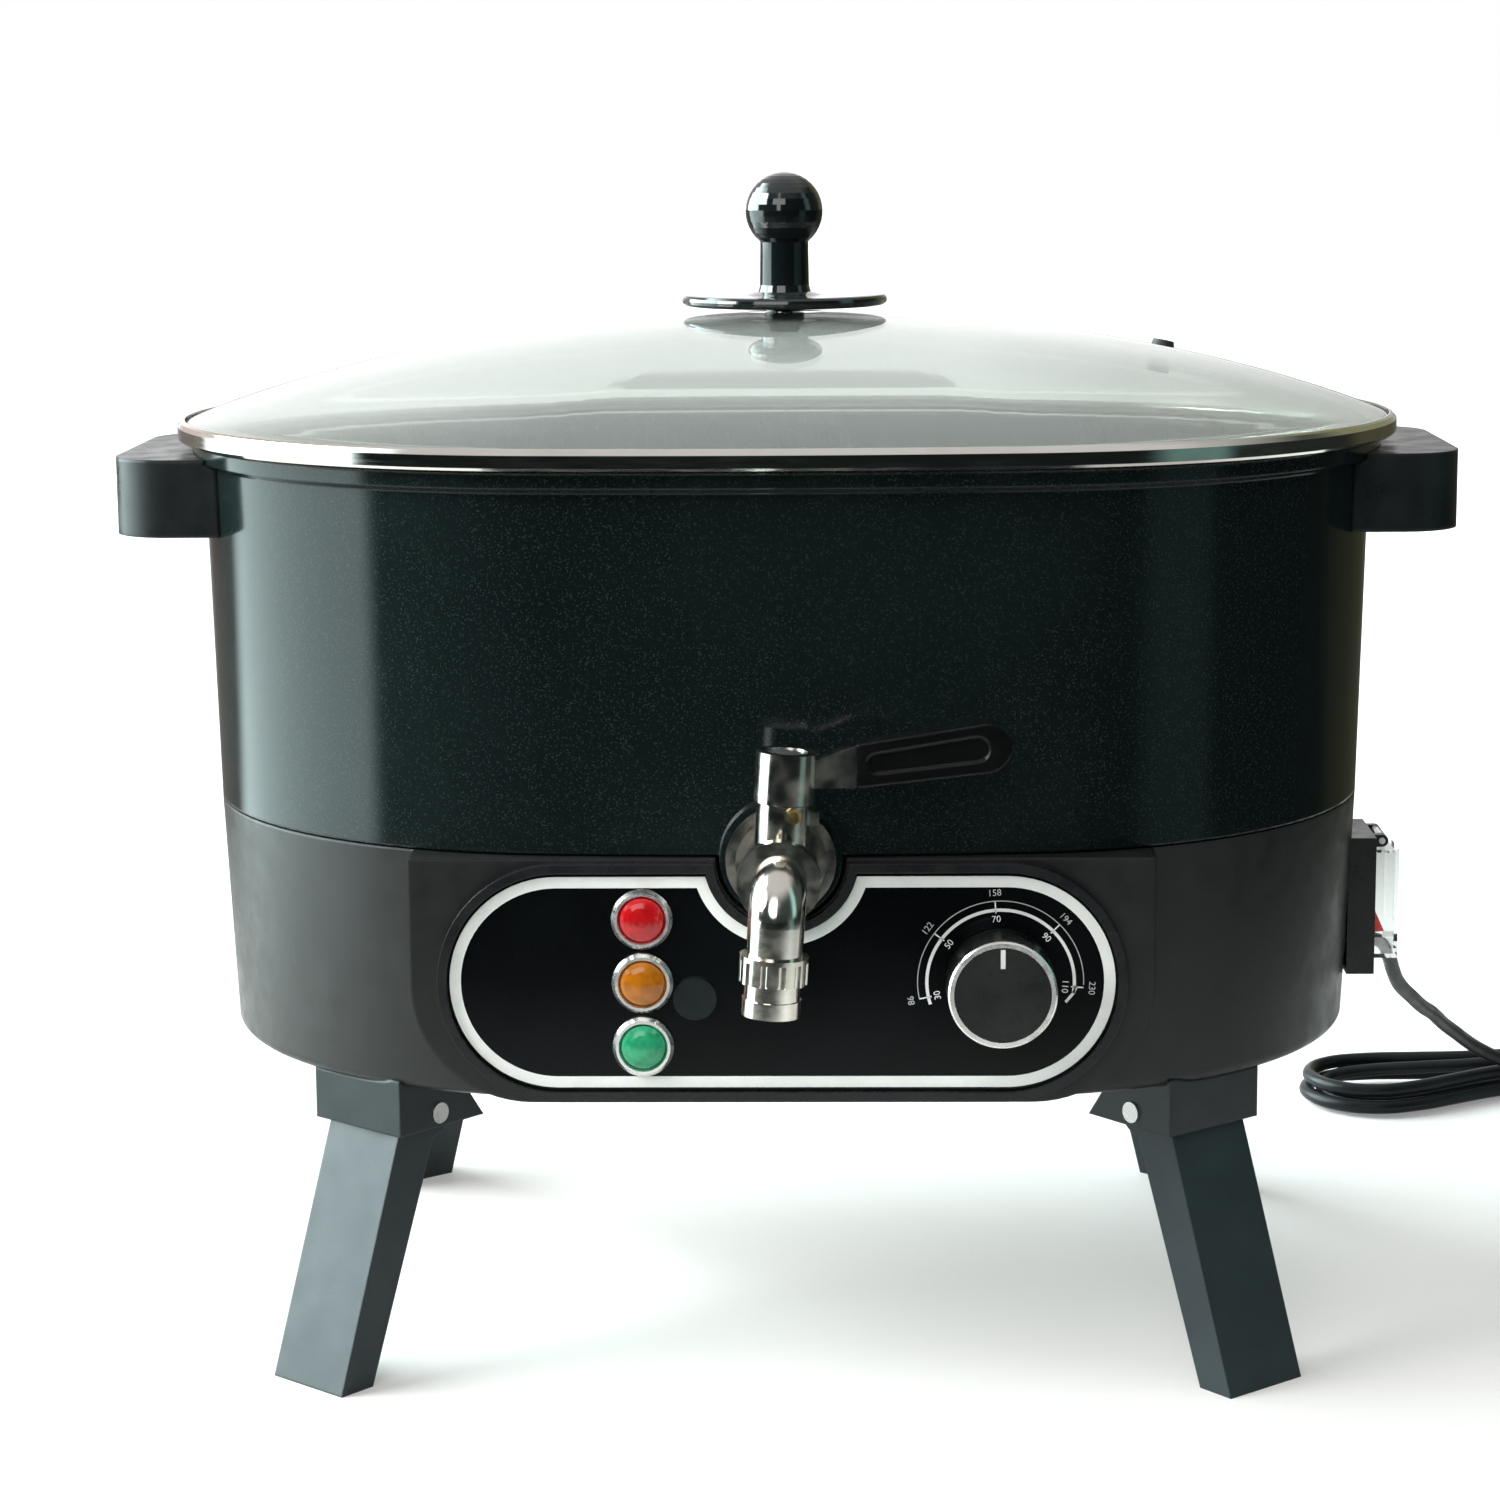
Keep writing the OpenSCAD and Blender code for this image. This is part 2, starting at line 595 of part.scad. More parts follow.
module dome_solid(low) {
    count = len(oval_points(glass_edge, ring_n));
    shares = [for (i = [rings:-1:1]) i / rings];
    rows = [for (s = shares) dome_ring(s, 0)];
    flat = [for (row = rows, p = row) p];
    top = len(flat);
    points = concat(flat, [[0, 0, dome_z(0)]], [for (p = rows[0]) [p.x, p.y, low]]);
    faces = concat(
        [for (k = [0:rings - 2], i = [0:count - 1]) let (j = (i + 1) % count)
            [k * count + i, (k + 1) * count + i, (k + 1) * count + j, k * count + j]],
        [for (i = [0:count - 1]) [(rings - 1) * count + i, top, (rings - 1) * count + (i + 1) % count]],
        [for (i = [0:count - 1]) let (j = (i + 1) % count)
            [i, j, top + 1 + j, top + 1 + i]],
        [[for (i = [0:count - 1]) top + 1 + i]]
    );
    polyhedron(points, faces);
}

module lid_glass() color([0.80, 0.90, 0.86, 0.4]) difference() {
    dome_solid(glass_low);
    translate([0, 0, -glass_t]) dome_solid(glass_low - 2);
    translate([0, 0, apex_z - 20]) cylinder(r = 3.2, h = 40);
    at_vent() translate([0, 0, -10]) cylinder(r = 2.5, h = 20);
}

module lid_rim_band() color([0.78, 0.76, 0.72]) {
    low = rim_z + 0.3;
    difference() {
        oval_disc(low, 6) polygon([
            [-24, low], [lid_out - 0.8, low], [lid_out, low + 0.8], [lid_out, low + 4.3],
            [lid_out - 1, low + 5.5], [lid_out - 1.9, low + 6], [-24, low + 6]
        ]);
        oval_disc(low + 1.05, 6) polygon([
            [-24, low + 1.05], [lid_out - 1.05, low + 1.05], [lid_out - 1.05, low + 4.6],
            [lid_out - 2.2, low + 5.3], [lid_out - 2.4, low + 7.05], [-24, low + 7.05]
        ]);
        oval_disc(low - 1, 4) polygon([[-24, low - 1], [4.5, low - 1], [4.5, low + 3], [-24, low + 3]]);
    }
    for (s = [0, 180]) rotate([0, 0, s]) translate([end_x, 0, low + 1.6]) rotate([0, 0, -90 + blend])
        translate([end_r + lid_out - 0.9, -5, 0]) cube([0.6, 10, 2.2]);
}

module knob_guard() color([0.05, 0.07, 0.07]) difference() {
    rotate_extrude() polygon(concat(
        [[0, apex_z + 0.1], [6, apex_z + 0.1], [6, apex_z + 2.4], [guard_d / 2 - 4, apex_z + 1.8]],
        corner(guard_d / 2 - 1.7, apex_z + 3.6, 1.7, -90, 90),
        [[12, apex_z + 5], [8.6, apex_z + 6], [0, apex_z + 6]]
    ));
    translate([0, 0, apex_z - 1]) cylinder(r = 2.6, h = 12);
}

module lid_knob() color([0.05, 0.07, 0.07]) difference() {
    rotate_extrude() polygon(concat(
        [[0, apex_z + 6], [8, apex_z + 6], [7.5, apex_z + 8], [7.3, apex_z + 20.9]],
        corner(0, apex_z + 30.2, knob_d / 2, -51, 90, 16)
    ));
    translate([0, 0, apex_z + 5]) cylinder(r = 2.1, h = 12);
}

module lid_knob_screw() color([0.8, 0.8, 0.8]) {
    translate([0, 0, apex_z - glass_t - 3.2]) cylinder(r1 = 4.2, r2 = 5, h = 2.05);
    translate([0, 0, apex_z - glass_t - 1.15]) cylinder(r = 8, h = 0.95);
    translate([0, 0, apex_z - glass_t - 0.2]) cylinder(r = 2, h = 19);
}

vent_turn = 27;
vent_share = 0.695;
vent_lean = 13.5;
vent_reach = (end_r + glass_edge) * vent_share;
module at_vent() translate([end_x * vent_share + vent_reach * cos(vent_turn), vent_reach * sin(vent_turn),
    dome_z(vent_share)]) rotate([0, 0, vent_turn]) rotate([0, vent_lean, 0]) children();

module vent_grommet() color([0.1, 0.1, 0.1]) at_vent() difference() {
    union() {
        translate([0, 0, -5]) cylinder(r = 2.4, h = 6);
        translate([0, 0, 0.25]) cylinder(r1 = 3.8, r2 = 3.3, h = 2);
        translate([0, 0, -5.2]) cylinder(r = 3.6, h = 1.7);
    }
    translate([0, 0, -7]) cylinder(r = 1.2, h = 20);
}

// --- power switch on the right side ---------------------------------------------------
module switch_frame() color([0.04, 0.04, 0.04]) difference() {
    union() {
        translate([switch_x - 1, -15.5, switch_z - 21.5]) cube([frame_x - switch_x + 1, 31, 42.8]);
        for (s = [-1, 1]) translate([0, s * 7.8, 0]) {
            translate([frame_x - 1, -1.4, cover_hinge_z - 1.9]) cube([3.6, 2.8, 3.8]);
            translate([cover_hinge_x, -1.4, cover_hinge_z]) rotate([-90, 0, 0]) cylinder(r = 1.9, h = 2.8);
        }
    }
    oval_end_wall();
    translate([switch_x - 5, -12.1, switch_z - 15.1]) cube([6.5, 24.2, 30.2]);
    translate([switch_x - 5, -9.2, rocker_z - 12.5]) cube([20, 18.4, 25]);
    translate([rocker_x, 0, rocker_z]) y_rod(1.56, -10.6, 10.6);
    translate([cover_hinge_x, 0, cover_hinge_z]) y_rod(1, -12, 12);
}

module oval_end_wall() translate([end_x, 0, 0]) rotate([0, 0, -20]) rotate_extrude(angle = 40)
    translate([end_r, 0]) polygon([
        [-20, base_z + edge_r], [-base_draft, base_z + edge_r], [0, seam_z - gap], [-20, seam_z - gap]
    ]);

module switch_body() color([0.08, 0.08, 0.08]) difference() {
    union() {
        translate([switch_x - 26, -12, switch_z - 15]) cube([24, 24, 26.4]);
        translate([switch_x - 3.6, -12, switch_z - 15]) cube([5, 24, 30]);
        for (i = [-1:1]) translate([switch_x - 34, -3.1, switch_z - 2.4 + i * 8]) cube([8, 6.2, 0.8]);
    }
    translate([switch_x - 2.2, -9.2, rocker_z - 12.5]) cube([14, 18.4, 25]);
}

module power_rocker() color([0.75, 0.06, 0.06]) translate([rocker_x, 0, rocker_z]) {
    rotate([0, -10, 0]) translate([0, 8.9, 0]) rotate([90, 0, 0]) linear_extrude(17.8) polygon([
        [5, 11], [2.2, 0], [5, -11], [-2, -10.5], [-5.5, -3], [-5.5, 3], [-2, 10.5]
    ]);
    y_rod(1.5, -10.2, 10.2);
}

module switch_cover() color([0.9, 0.95, 0.95, 0.35]) {
    difference() {
        translate([frame_x + 0.3, -12.5, switch_z - 17.1]) cube([7.2, 25, 34.1]);
        translate([frame_x - 1, -11.4, switch_z - 16]) cube([7.4, 22.8, 31.9]);
    }
    difference() {
        union() {
            translate([cover_hinge_x, 6, cover_hinge_z]) rotate([90, 0, 0]) cylinder(r = 1.9, h = 12);
            translate([cover_hinge_x - 0.8, -6, switch_z + 16.6]) cube([1.6, 12, 1.6]);
        }
        translate([cover_hinge_x, 0, cover_hinge_z]) y_rod(1.05, -7, 7);
    }
}

module cover_hinge_pin() color([0.8, 0.8, 0.8]) translate([cover_hinge_x, 0, cover_hinge_z])
    y_rod(1, -9.4, 9.4);

// --- heater and wiring inside the base ------------------------------------------------
heater_top = pot_floor_z - floor_t;
module heating_element() color([0.55, 0.5, 0.45]) for (s = [0, 180]) rotate([0, 0, s]) {
    translate([end_x - 20, 0, heater_top - 4]) rotate([0, 0, -90]) rotate_extrude(angle = 180)
        translate([62, 0]) circle(4);
    translate([-end_x + 20, 62, heater_top - 4]) x_rod(4, 0, 2 * end_x - 40);
}

module element_clamp_plate() color([0.7, 0.7, 0.72]) difference() {
    translate([-end_x - 50, -70, heater_top - 9.2]) cube([2 * end_x + 100, 140, 1.2]);
    translate([-end_x - 20, -30, heater_top - 10]) cube([2 * end_x + 40, 60, 3]);
    clamp_places() translate([0, 0, -3]) cylinder(r = 1.4, h = 4);
}

module thermal_fuse() color([0.85, 0.8, 0.7]) translate([0, 58, heater_top - 14.2])
    x_rod(5, -9, 9);

module terminal_block() color([0.93, 0.92, 0.88]) translate([92, 40, base_z + cover_t]) {
    cube([24, 20, 12]);
    translate([-6, 6, 0]) cube([6, 8, 2]);
}

// --- folding legs -----------------------------------------------------------------------
module at_leg(mx, my) mirror([mx, 0, 0]) mirror([0, my, 0])
    translate([face_x, face_y, pivot_z]) rotate([0, 0, 180 + leg_yaw]) translate([-pivot_in, 0, 0])
        children();

module leg() difference() {
    rise = pivot_z;
    slope = tan(leg_splay);
    top_out = pivot_in - 2.7;
    foot_out = top_out + (rise + bracket_low) * slope;
    translate([0, leg_w / 2, 0]) rotate([90, 0, 0]) linear_extrude(leg_w) {
        polygon([
            [foot_out, -rise], [top_out + bracket_low * slope, 0], [-3.6, 0],
            [top_out - leg_t, bracket_low], [foot_out - foot_t, -rise]
        ]);
        circle(8.2);
    }
    y_rod(pin_r + 0.06, -leg_w, leg_w);
}

module leg_front_left() color([0.22, 0.27, 0.30]) at_leg(0, 0) leg();
module leg_front_right() color([0.22, 0.27, 0.30]) at_leg(1, 0) leg();
module leg_rear_left() color([0.22, 0.27, 0.30]) at_leg(0, 1) leg();
module leg_rear_right() color([0.22, 0.27, 0.30]) at_leg(1, 1) leg();

module bracket() difference() {
    translate([-cheek_in, -bracket_half, bracket_low]) cube([cheek_in + pivot_in, 2 * bracket_half, 16.8]);
    translate([-12, -leg_w / 2 - 0.5, bracket_low - 1])
        cube([12 + pivot_in - 1.8, leg_w + 1, 9.7 - bracket_low]);
    translate([-cheek_in - 1, -leg_w / 2 - 0.5, bracket_low - 1]) cube([cheek_in - 10, leg_w + 1, 30]);
    translate([-cheek_in, 0, bracket_low]) rotate([0, 35, 0]) translate([-10, -30, -20]) cube([10, 60, 40]);
    y_rod(pin_r, -30, 30);
    bracket_screw_places() cylinder(r = 1.4, h = 20);
}

module base_underside() translate([-end_x, 0, 0]) rotate([0, 0, 180]) rotate_extrude(angle = 90, $fn = 200)
    translate([end_r, 0]) polygon(concat(
        [[-100, base_z + 30], [-100, base_z], [-base_draft - edge_r, base_z]],
        corner(-base_draft - edge_r, base_z + edge_r, edge_r, -90, 0),
        [[2, base_z + 30]]
    ));

module leg_brackets() color([0.15, 0.18, 0.19]) for (mx = [0, 1], my = [0, 1])
    mirror([mx, 0, 0]) mirror([0, my, 0]) difference() {
        at_leg(0, 0) bracket();
        base_underside();
    }

module leg_pivot_pins() color([0.85, 0.85, 0.85]) for (mx = [0, 1], my = [0, 1]) at_leg(mx, my) {
    y_rod(pin_r, -bracket_half, bracket_half);
    y_rod(3.1, -bracket_half - 0.8, -bracket_half);
    y_rod(3.1, bracket_half, bracket_half + 0.8);
}

// --- cord ----------------------------------------------------------------------------------
module at_relief() translate([end_x, 0, relief_z]) rotate([0, 0, relief_turn])
    translate([end_r - base_draft + 0.3, 0, 0]) children();

module strain_relief() color([0.05, 0.05, 0.05]) at_relief() {
    x_rod(4.2, -4, 1);
    translate([0.8, 0, 0]) rotate([0, 90, 0]) cylinder(r = 5.4, h = 1.6);
    translate([2.2, 0, 0]) rotate([0, 90, 0]) cylinder(r1 = 4.2, r2 = 3.1, h = relief_len - 2.2);
}

function unit(v) = v / norm(v);
function cord_ring(p, along, r, sides) = let (side = unit(cross(along, [0, 0, 1])), up = cross(side, along))
    [for (k = [0:sides - 1]) let (a = (k + 0.5) * 360 / sides) p + r * (cos(a) * side + sin(a) * up)];

// A tube of round sections along a line of points, square to the first and last directions
module cord_tube(points, first, last, sides) {
    n = len(points);
    along = [for (i = [0:n - 1]) i == 0 ? first : i == n - 1 ? last : unit(points[i + 1] - points[i - 1])];
    skin = [for (i = [0:n - 1], v = cord_ring(points[i], along[i], cord_d / 2, sides)) v];
    sidewalls = [for (i = [0:n - 2], k = [0:sides - 1])
        let (a = i * sides + k, b = i * sides + (k + 1) % sides)
        each [[a, b, a + sides], [b, b + sides, a + sides]]];
    ends = [for (k = [1:sides - 2]) each [
        [0, k + 1, k],
        [(n - 1) * sides, (n - 1) * sides + k, (n - 1) * sides + k + 1]
    ]];
    polyhedron(skin, concat(sidewalls, ends));
}

// The hank's own axes: x along it, y across it
module at_hank() translate([hank_x, hank_y, 0]) rotate([0, 0, hank_turn]) children();
function from_hank(p) = [
    hank_x + p.x * cos(hank_turn) - p.y * sin(hank_turn),
    hank_y + p.x * sin(hank_turn) + p.y * cos(hank_turn), p.z
];

// One point of the hank, t loops from its start: inward, down a layer, then outward
function loop_point(t) = let (
    a = 360 * t - 90,
    long = cos(a) < 0 ? 82 : 50,
    wide = cos(a) < 0 ? 36 : 24,
    waist = 4.5 + wide * cos(a) * cos(a),
    slope = unit([-long * sin(a), cos(a) * waist - 2 * wide * sin(a) * sin(a) * cos(a)]),
    out = abs(t - loops / 2) * loop_pitch,
    fall = min(1, max(0, 2 * (t - loops / 2) + 0.5))
) [
    long * cos(a) + out * slope.y, sin(a) * waist - out * slope.x,
    hank_high + (hank_low - hank_high) * fall * fall * (3 - 2 * fall)
];

hank_points = concat(
    [for (i = [0:loops * loop_rings]) loop_point(i / loop_rings)],
    [for (p = tail_route) [p.x, p.y, hank_low + p.z]]
);
tail_end = hank_points[len(hank_points) - 1];
tail_way = unit([tail_end.x - hank_points[len(hank_points) - 2].x,
    tail_end.y - hank_points[len(hank_points) - 2].y, 0]);
plug_at = tail_end + cord_d * tail_way;

least_gap = min([for (i = [0:len(hank_points) - 1], j = [i + 6:1:len(hank_points) - 1])
    norm(hank_points[i] - hank_points[j]) - cord_d]);
echo(least_gap = least_gap);  // cord_hank

module cord_run() color([0.05, 0.05, 0.05]) {
    out = [cos(relief_turn), sin(relief_turn), 0];
    start = [end_x, 0, relief_z] + (end_r - base_draft + 0.3 + relief_len) * out;
    join = from_hank(loop_point(0));
    way = [cos(hank_turn), sin(hank_turn), 0];
    cord_tube(concat([start, start + cord_d * out], cord_route, [join - cord_d * way, join]), out, way, 8);
}

module cord_hank() color([0.06, 0.06, 0.06]) at_hank()
    cord_tube(concat(hank_points, [plug_at]), [1, 0, 0], tail_way, 6);

module cord_tie() color([0.1, 0.1, 0.1]) at_hank() {
    half = loop_point(0).y - cord_d / 2 - 0.3;
    far = loop_point(0.5).y + cord_d / 2 + 0.3;
    top = hank_high + cord_d / 2 + 0.3;
    low = hank_low - cord_d / 2 - 0.3;
    difference() {
        translate([-3.5, half - 0.9, low - 0.9]) cube([7, far - half + 1.8, top - low + 1.8]);
        translate([-4, half, low]) cube([8, far - half, top - low]);
    }
}

module at_plug() at_hank() translate(plug_at) rotate([0, 0, atan2(tail_way.y, tail_way.x)]) children();

module plug_body() color([0.06, 0.06, 0.06]) at_plug() {
    rotate([0, 90, 0]) cylinder(r1 = 3.6, r2 = 4.6, h = 12);
    translate([12, 0, -8]) linear_extrude(16) polygon([
        [0, -6], [5, -10], [9, -12.5], [22, -12.5], [22, 12.5], [9, 12.5], [5, 10], [0, 6]
    ]);
}

module plug_pins() color([0.8, 0.75, 0.5]) at_plug() for (s = [-1, 1])
    translate([34, s * 6.35 - 0.75, -3.2]) cube([17.5, 1.5, 6.4]);

translate([0, middle_y, 0]) {
pot();
base_housing();
bottom_cover();
base_screws();
panel_bezel();
fascia_panel();
lamp_bezels();
lamp_lens_red();
lamp_lens_amber();
lamp_lens_green();
lamp_bodies();
blank_cap();
thermostat_knob();
dial_ring();
dial_pointer();
thermostat_shaft();
thermostat_body();
tap_body();
tap_flange_washer();
tap_outer_gasket();
tap_inner_gasket();
tap_inner_nut();
tap_ball();
tap_stem();
tap_lever();
lever_grip();
lever_screw();
gland_screw();
outlet_nut();
outlet_nozzle();
side_handle_left();
side_handle_right();
handle_screws();
lid_glass();
lid_rim_band();
knob_guard();
lid_knob();
lid_knob_screw();
vent_grommet();
switch_frame();
switch_body();
power_rocker();
switch_cover();
cover_hinge_pin();
heating_element();
element_clamp_plate();
thermal_fuse();
terminal_block();
leg_front_left();
leg_front_right();
leg_rear_left();
leg_rear_right();
leg_brackets();
leg_pivot_pins();
strain_relief();
cord_run();
cord_hank();
cord_tie();
plug_body();
plug_pins();
}
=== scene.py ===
"""Looks of the candle wax melter: camera, cord, glass, prints, materials, floor and lamps.

Blender's units are metres. Values that carry no MM are in millimetres where a comment says so.
"""
import math

import bpy
from mathutils import Matrix, Vector


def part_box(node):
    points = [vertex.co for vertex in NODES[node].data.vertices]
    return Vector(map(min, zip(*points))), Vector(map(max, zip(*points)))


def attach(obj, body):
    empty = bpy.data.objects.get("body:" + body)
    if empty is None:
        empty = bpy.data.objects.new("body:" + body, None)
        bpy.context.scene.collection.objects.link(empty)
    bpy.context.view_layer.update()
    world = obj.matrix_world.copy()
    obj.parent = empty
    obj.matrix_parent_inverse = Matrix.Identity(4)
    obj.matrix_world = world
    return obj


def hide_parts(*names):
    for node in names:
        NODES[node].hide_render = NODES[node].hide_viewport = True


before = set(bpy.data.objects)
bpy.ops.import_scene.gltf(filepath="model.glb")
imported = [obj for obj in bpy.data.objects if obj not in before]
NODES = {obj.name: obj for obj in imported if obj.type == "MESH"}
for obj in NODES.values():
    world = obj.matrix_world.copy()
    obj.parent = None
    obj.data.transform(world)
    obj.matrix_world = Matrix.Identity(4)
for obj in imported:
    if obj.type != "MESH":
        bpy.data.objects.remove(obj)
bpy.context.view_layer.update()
MM = 0.001


def middle(node):
    """The middle of a CAD node's box."""
    low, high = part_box(node)
    return (Vector(low) + Vector(high)) / 2


# --- camera ----------------------------------------------------------------------------
# The photograph's side and focal length in pixels, the sensor's width in mm, the camera's place and turns
IMAGE = 1500
FOCAL_PIXELS = 3598.2
SENSOR = 36.0
CAMERA_AT = Vector((0.01807, -1.08057, 0.36463))
PITCH = math.radians(10.073)
YAW = math.radians(1.544)
ROLL = math.radians(-0.465)


def make_camera():
    """The camera stands where the photograph's perspective puts it."""
    data = bpy.data.cameras.new("camera")
    data.sensor_width = SENSOR
    data.lens = FOCAL_PIXELS / IMAGE * SENSOR
    data.clip_start = 0.05
    data.clip_end = 50
    ahead = Vector((-math.sin(YAW) * math.cos(PITCH), math.cos(YAW) * math.cos(PITCH), -math.sin(PITCH)))
    level = Vector((math.cos(YAW), math.sin(YAW), 0))
    upward = level.cross(ahead)
    right = math.cos(ROLL) * level + math.sin(ROLL) * upward
    up = math.cos(ROLL) * upward - math.sin(ROLL) * level
    turn = Matrix((right, up, -ahead)).transposed().to_4x4()
    camera = bpy.data.objects.new("camera", data)
    camera.matrix_world = Matrix.Translation(CAMERA_AT) @ turn
    bpy.context.scene.collection.objects.link(camera)
    bpy.context.scene.camera = camera


# --- mesh helpers ----------------------------------------------------------------------
def add_mesh(name, points, faces, smooth=False):
    """A new object with this mesh, linked to the scene."""
    mesh = bpy.data.meshes.new(name)
    mesh.from_pydata([tuple(p) for p in points], [], faces)
    mesh.update()
    mesh.polygons.foreach_set("use_smooth", [smooth] * len(mesh.polygons))
    piece = bpy.data.objects.new(name, mesh)
    bpy.context.scene.collection.objects.link(piece)
    return piece


def ribbon(name, path, width, depth_y, thick, closed=False):
    """A flat line of even width along 2-D points (x, z), standing on the plane y = depth_y."""
    count = len(path)
    sides = []
    for i in range(count):
        before = path[(i - 1) % count] if closed or i else None
        after = path[(i + 1) % count] if closed or i < count - 1 else None
        here = Vector(path[i])
        ways = []
        if before is not None:
            ways.append((here - Vector(before)).normalized())
        if after is not None:
            ways.append((Vector(after) - here).normalized())
        way = sum(ways, Vector((0, 0))).normalized()
        normal = Vector((-way.y, way.x))
        mitre = 1 / max(0.5, normal.dot(Vector((-ways[0].y, ways[0].x))))
        sides.append((here + normal * width / 2 * mitre, here - normal * width / 2 * mitre))
    points = []
    for y in (depth_y - thick, depth_y + thick):
        for left, right in sides:
            points.append((left.x, y, left.y))
            points.append((right.x, y, right.y))
    layer = 2 * count
    faces = []
    for i in range(count if closed else count - 1):
        a, b = 2 * i, 2 * ((i + 1) % count)
        faces.append((a, b, b + 1, a + 1))
        faces.append((a + layer, a + 1 + layer, b + 1 + layer, b + layer))
        faces.append((a, a + layer, b + layer, b))
        faces.append((a + 1, b + 1, b + 1 + layer, a + 1 + layer))
    if not closed:
        last = 2 * (count - 1)
        faces.append((0, 1, 1 + layer, layer))
        faces.append((last, last + layer, last + 1 + layer, last + 1))
    return add_mesh(name, points, faces)


def arc(centre, radius, start, end, steps):
    """Points (x, z) on an arc, angles in degrees from +X towards +Z."""
    turns = [math.radians(start + (end - start) * i / steps) for i in range(steps + 1)]
    return [(centre[0] + radius * math.cos(t), centre[1] + radius * math.sin(t)) for t in turns]


# --- cord ------------------------------------------------------------------------------
CORD_D = 5 * MM
# How far back the pot's middle lies, and the centre and radius of its round ends, in mm
MIDDLE_Y = 21.925
END_X = 58.5
END_R = 116.5
# The strain relief's end, in mm: how far it stands out past the round end, how high, and its turn
RELIEF_TURN = math.radians(24)
RELIEF_Z = 95
RELIEF_OUT = 17.3
# The short straight pieces where the cord starts, joins the hank and ends, in mm
STUB = 5
# The free stretch, in mm from the pot's middle
CORD_ROUTE = [
    (189.4, 59.2, 94.4), (195.4, 66.5, 91.4), (199.1, 75.1, 85.7), (202.2, 84.5, 78.2),
    (206, 95.1, 70.6), (213, 110, 62), (219, 124, 55), (225, 138, 49), (231, 151, 42),
    (238, 164, 35), (245, 177, 28), (252, 188, 22), (259, 197, 17), (266, 202, 13),
]
# The folded hank, in mm: its place and turn, its loops and its two layers
HANK_AT = (275, 220)
HANK_TURN = math.radians(17.6)
HANK_LONG_LEFT = 82
HANK_LONG_RIGHT = 52
HANK_WIDE_LEFT = 36
HANK_WIDE_RIGHT = 25
HANK_WAIST = 4.5
LOOPS = 3.25
LOOP_STEPS = 24
LOOP_PITCH = 5.8
HANK_LOW = 3.8
HANK_HIGH = 9.4
TAIL_ROUTE = [(60, 7, 0), (62, 15, 0.4), (66, 23, 1.8), (71, 31, 3.6), (77, 38, 4.6)]


def from_hank(p):
    """A point in the hank's own axes, in the pot's axes."""
    c, s = math.cos(HANK_TURN), math.sin(HANK_TURN)
    return (HANK_AT[0] + p[0] * c - p[1] * s, HANK_AT[1] + p[0] * s + p[1] * c, p[2])


def loop_point(t):
    """One point of the hank, t loops from its start: inward, down a layer, then outward."""
    a = math.radians(360 * t - 90)
    on_left = math.cos(a) < 0
    long = HANK_LONG_LEFT if on_left else HANK_LONG_RIGHT
    wide = HANK_WIDE_LEFT if on_left else HANK_WIDE_RIGHT
    waist = HANK_WAIST + wide * math.cos(a) ** 2
    slope = Vector((-long * math.sin(a),
                    math.cos(a) * waist - 2 * wide * math.sin(a) ** 2 * math.cos(a))).normalized()
    out = abs(t - LOOPS / 2) * LOOP_PITCH
    fall = min(1, max(0, 2 * (t - LOOPS / 2) + 0.5))
    drop = fall * fall * (3 - 2 * fall)
    return (long * math.cos(a) + out * slope.y, math.sin(a) * waist - out * slope.x,
            HANK_HIGH + (HANK_LOW - HANK_HIGH) * drop)


def cord_points():
    """The whole cord's way from the strain relief to the plug, in metres."""
    out = (math.cos(RELIEF_TURN), math.sin(RELIEF_TURN))
    reach = END_R + RELIEF_OUT
    start = (END_X + reach * out[0], reach * out[1], RELIEF_Z)
    straight = (start[0] + STUB * out[0], start[1] + STUB * out[1], RELIEF_Z)
    steps = int(LOOPS * LOOP_STEPS)
    hank = [loop_point(i / LOOP_STEPS) for i in range(steps + 1)]
    hank += [(x, y, HANK_LOW + rise) for x, y, rise in TAIL_ROUTE]
    way = Vector((hank[-1][0] - hank[-2][0], hank[-1][1] - hank[-2][1])).normalized()
    hank.append((hank[-1][0] + STUB * way.x, hank[-1][1] + STUB * way.y, hank[-1][2]))
    join = from_hank(hank[0])
    before = (join[0] - STUB * math.cos(HANK_TURN), join[1] - STUB * math.sin(HANK_TURN), join[2])
    route = [start, straight, *CORD_ROUTE, before] + [from_hank(p) for p in hank]
    return [Vector((x, y + MIDDLE_Y, z)) * MM for x, y, z in route]


def evaluated_mesh(piece):
    """The piece's shape with its modifiers or its curve's thickness, as a mesh of its own."""
    bpy.context.view_layer.update()
    return bpy.data.meshes.new_from_object(piece.evaluated_get(bpy.context.evaluated_depsgraph_get()))


def make_cord():
    """The power cord as one smooth round tube along its route."""
    route = cord_points()
    curve = bpy.data.curves.new("cord_line", "CURVE")
    curve.dimensions = "3D"
    curve.bevel_resolution = 5
    curve.resolution_u = 5
    curve.use_fill_caps = True
    spline = curve.splines.new("BEZIER")
    spline.bezier_points.add(len(route) - 1)
    for point, at in zip(spline.bezier_points, route):
        point.co = at
        point.handle_left_type = "AUTO"
        point.handle_right_type = "AUTO"
    line = bpy.data.objects.new("cord_line", curve)
    bpy.context.scene.collection.objects.link(line)
    path = [tuple(v.co) for v in evaluated_mesh(line).vertices]
    curve.bevel_depth = CORD_D / 2
    tube = evaluated_mesh(line)
    tube.polygons.foreach_set("use_smooth", [True] * len(tube.polygons))
    bpy.data.objects.remove(line)
    cord = bpy.data.objects.new("power_cord", tube)
    bpy.context.scene.collection.objects.link(cord)
    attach(cord, "melter_body")
    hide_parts("cord_run", "cord_hank")
    return cord


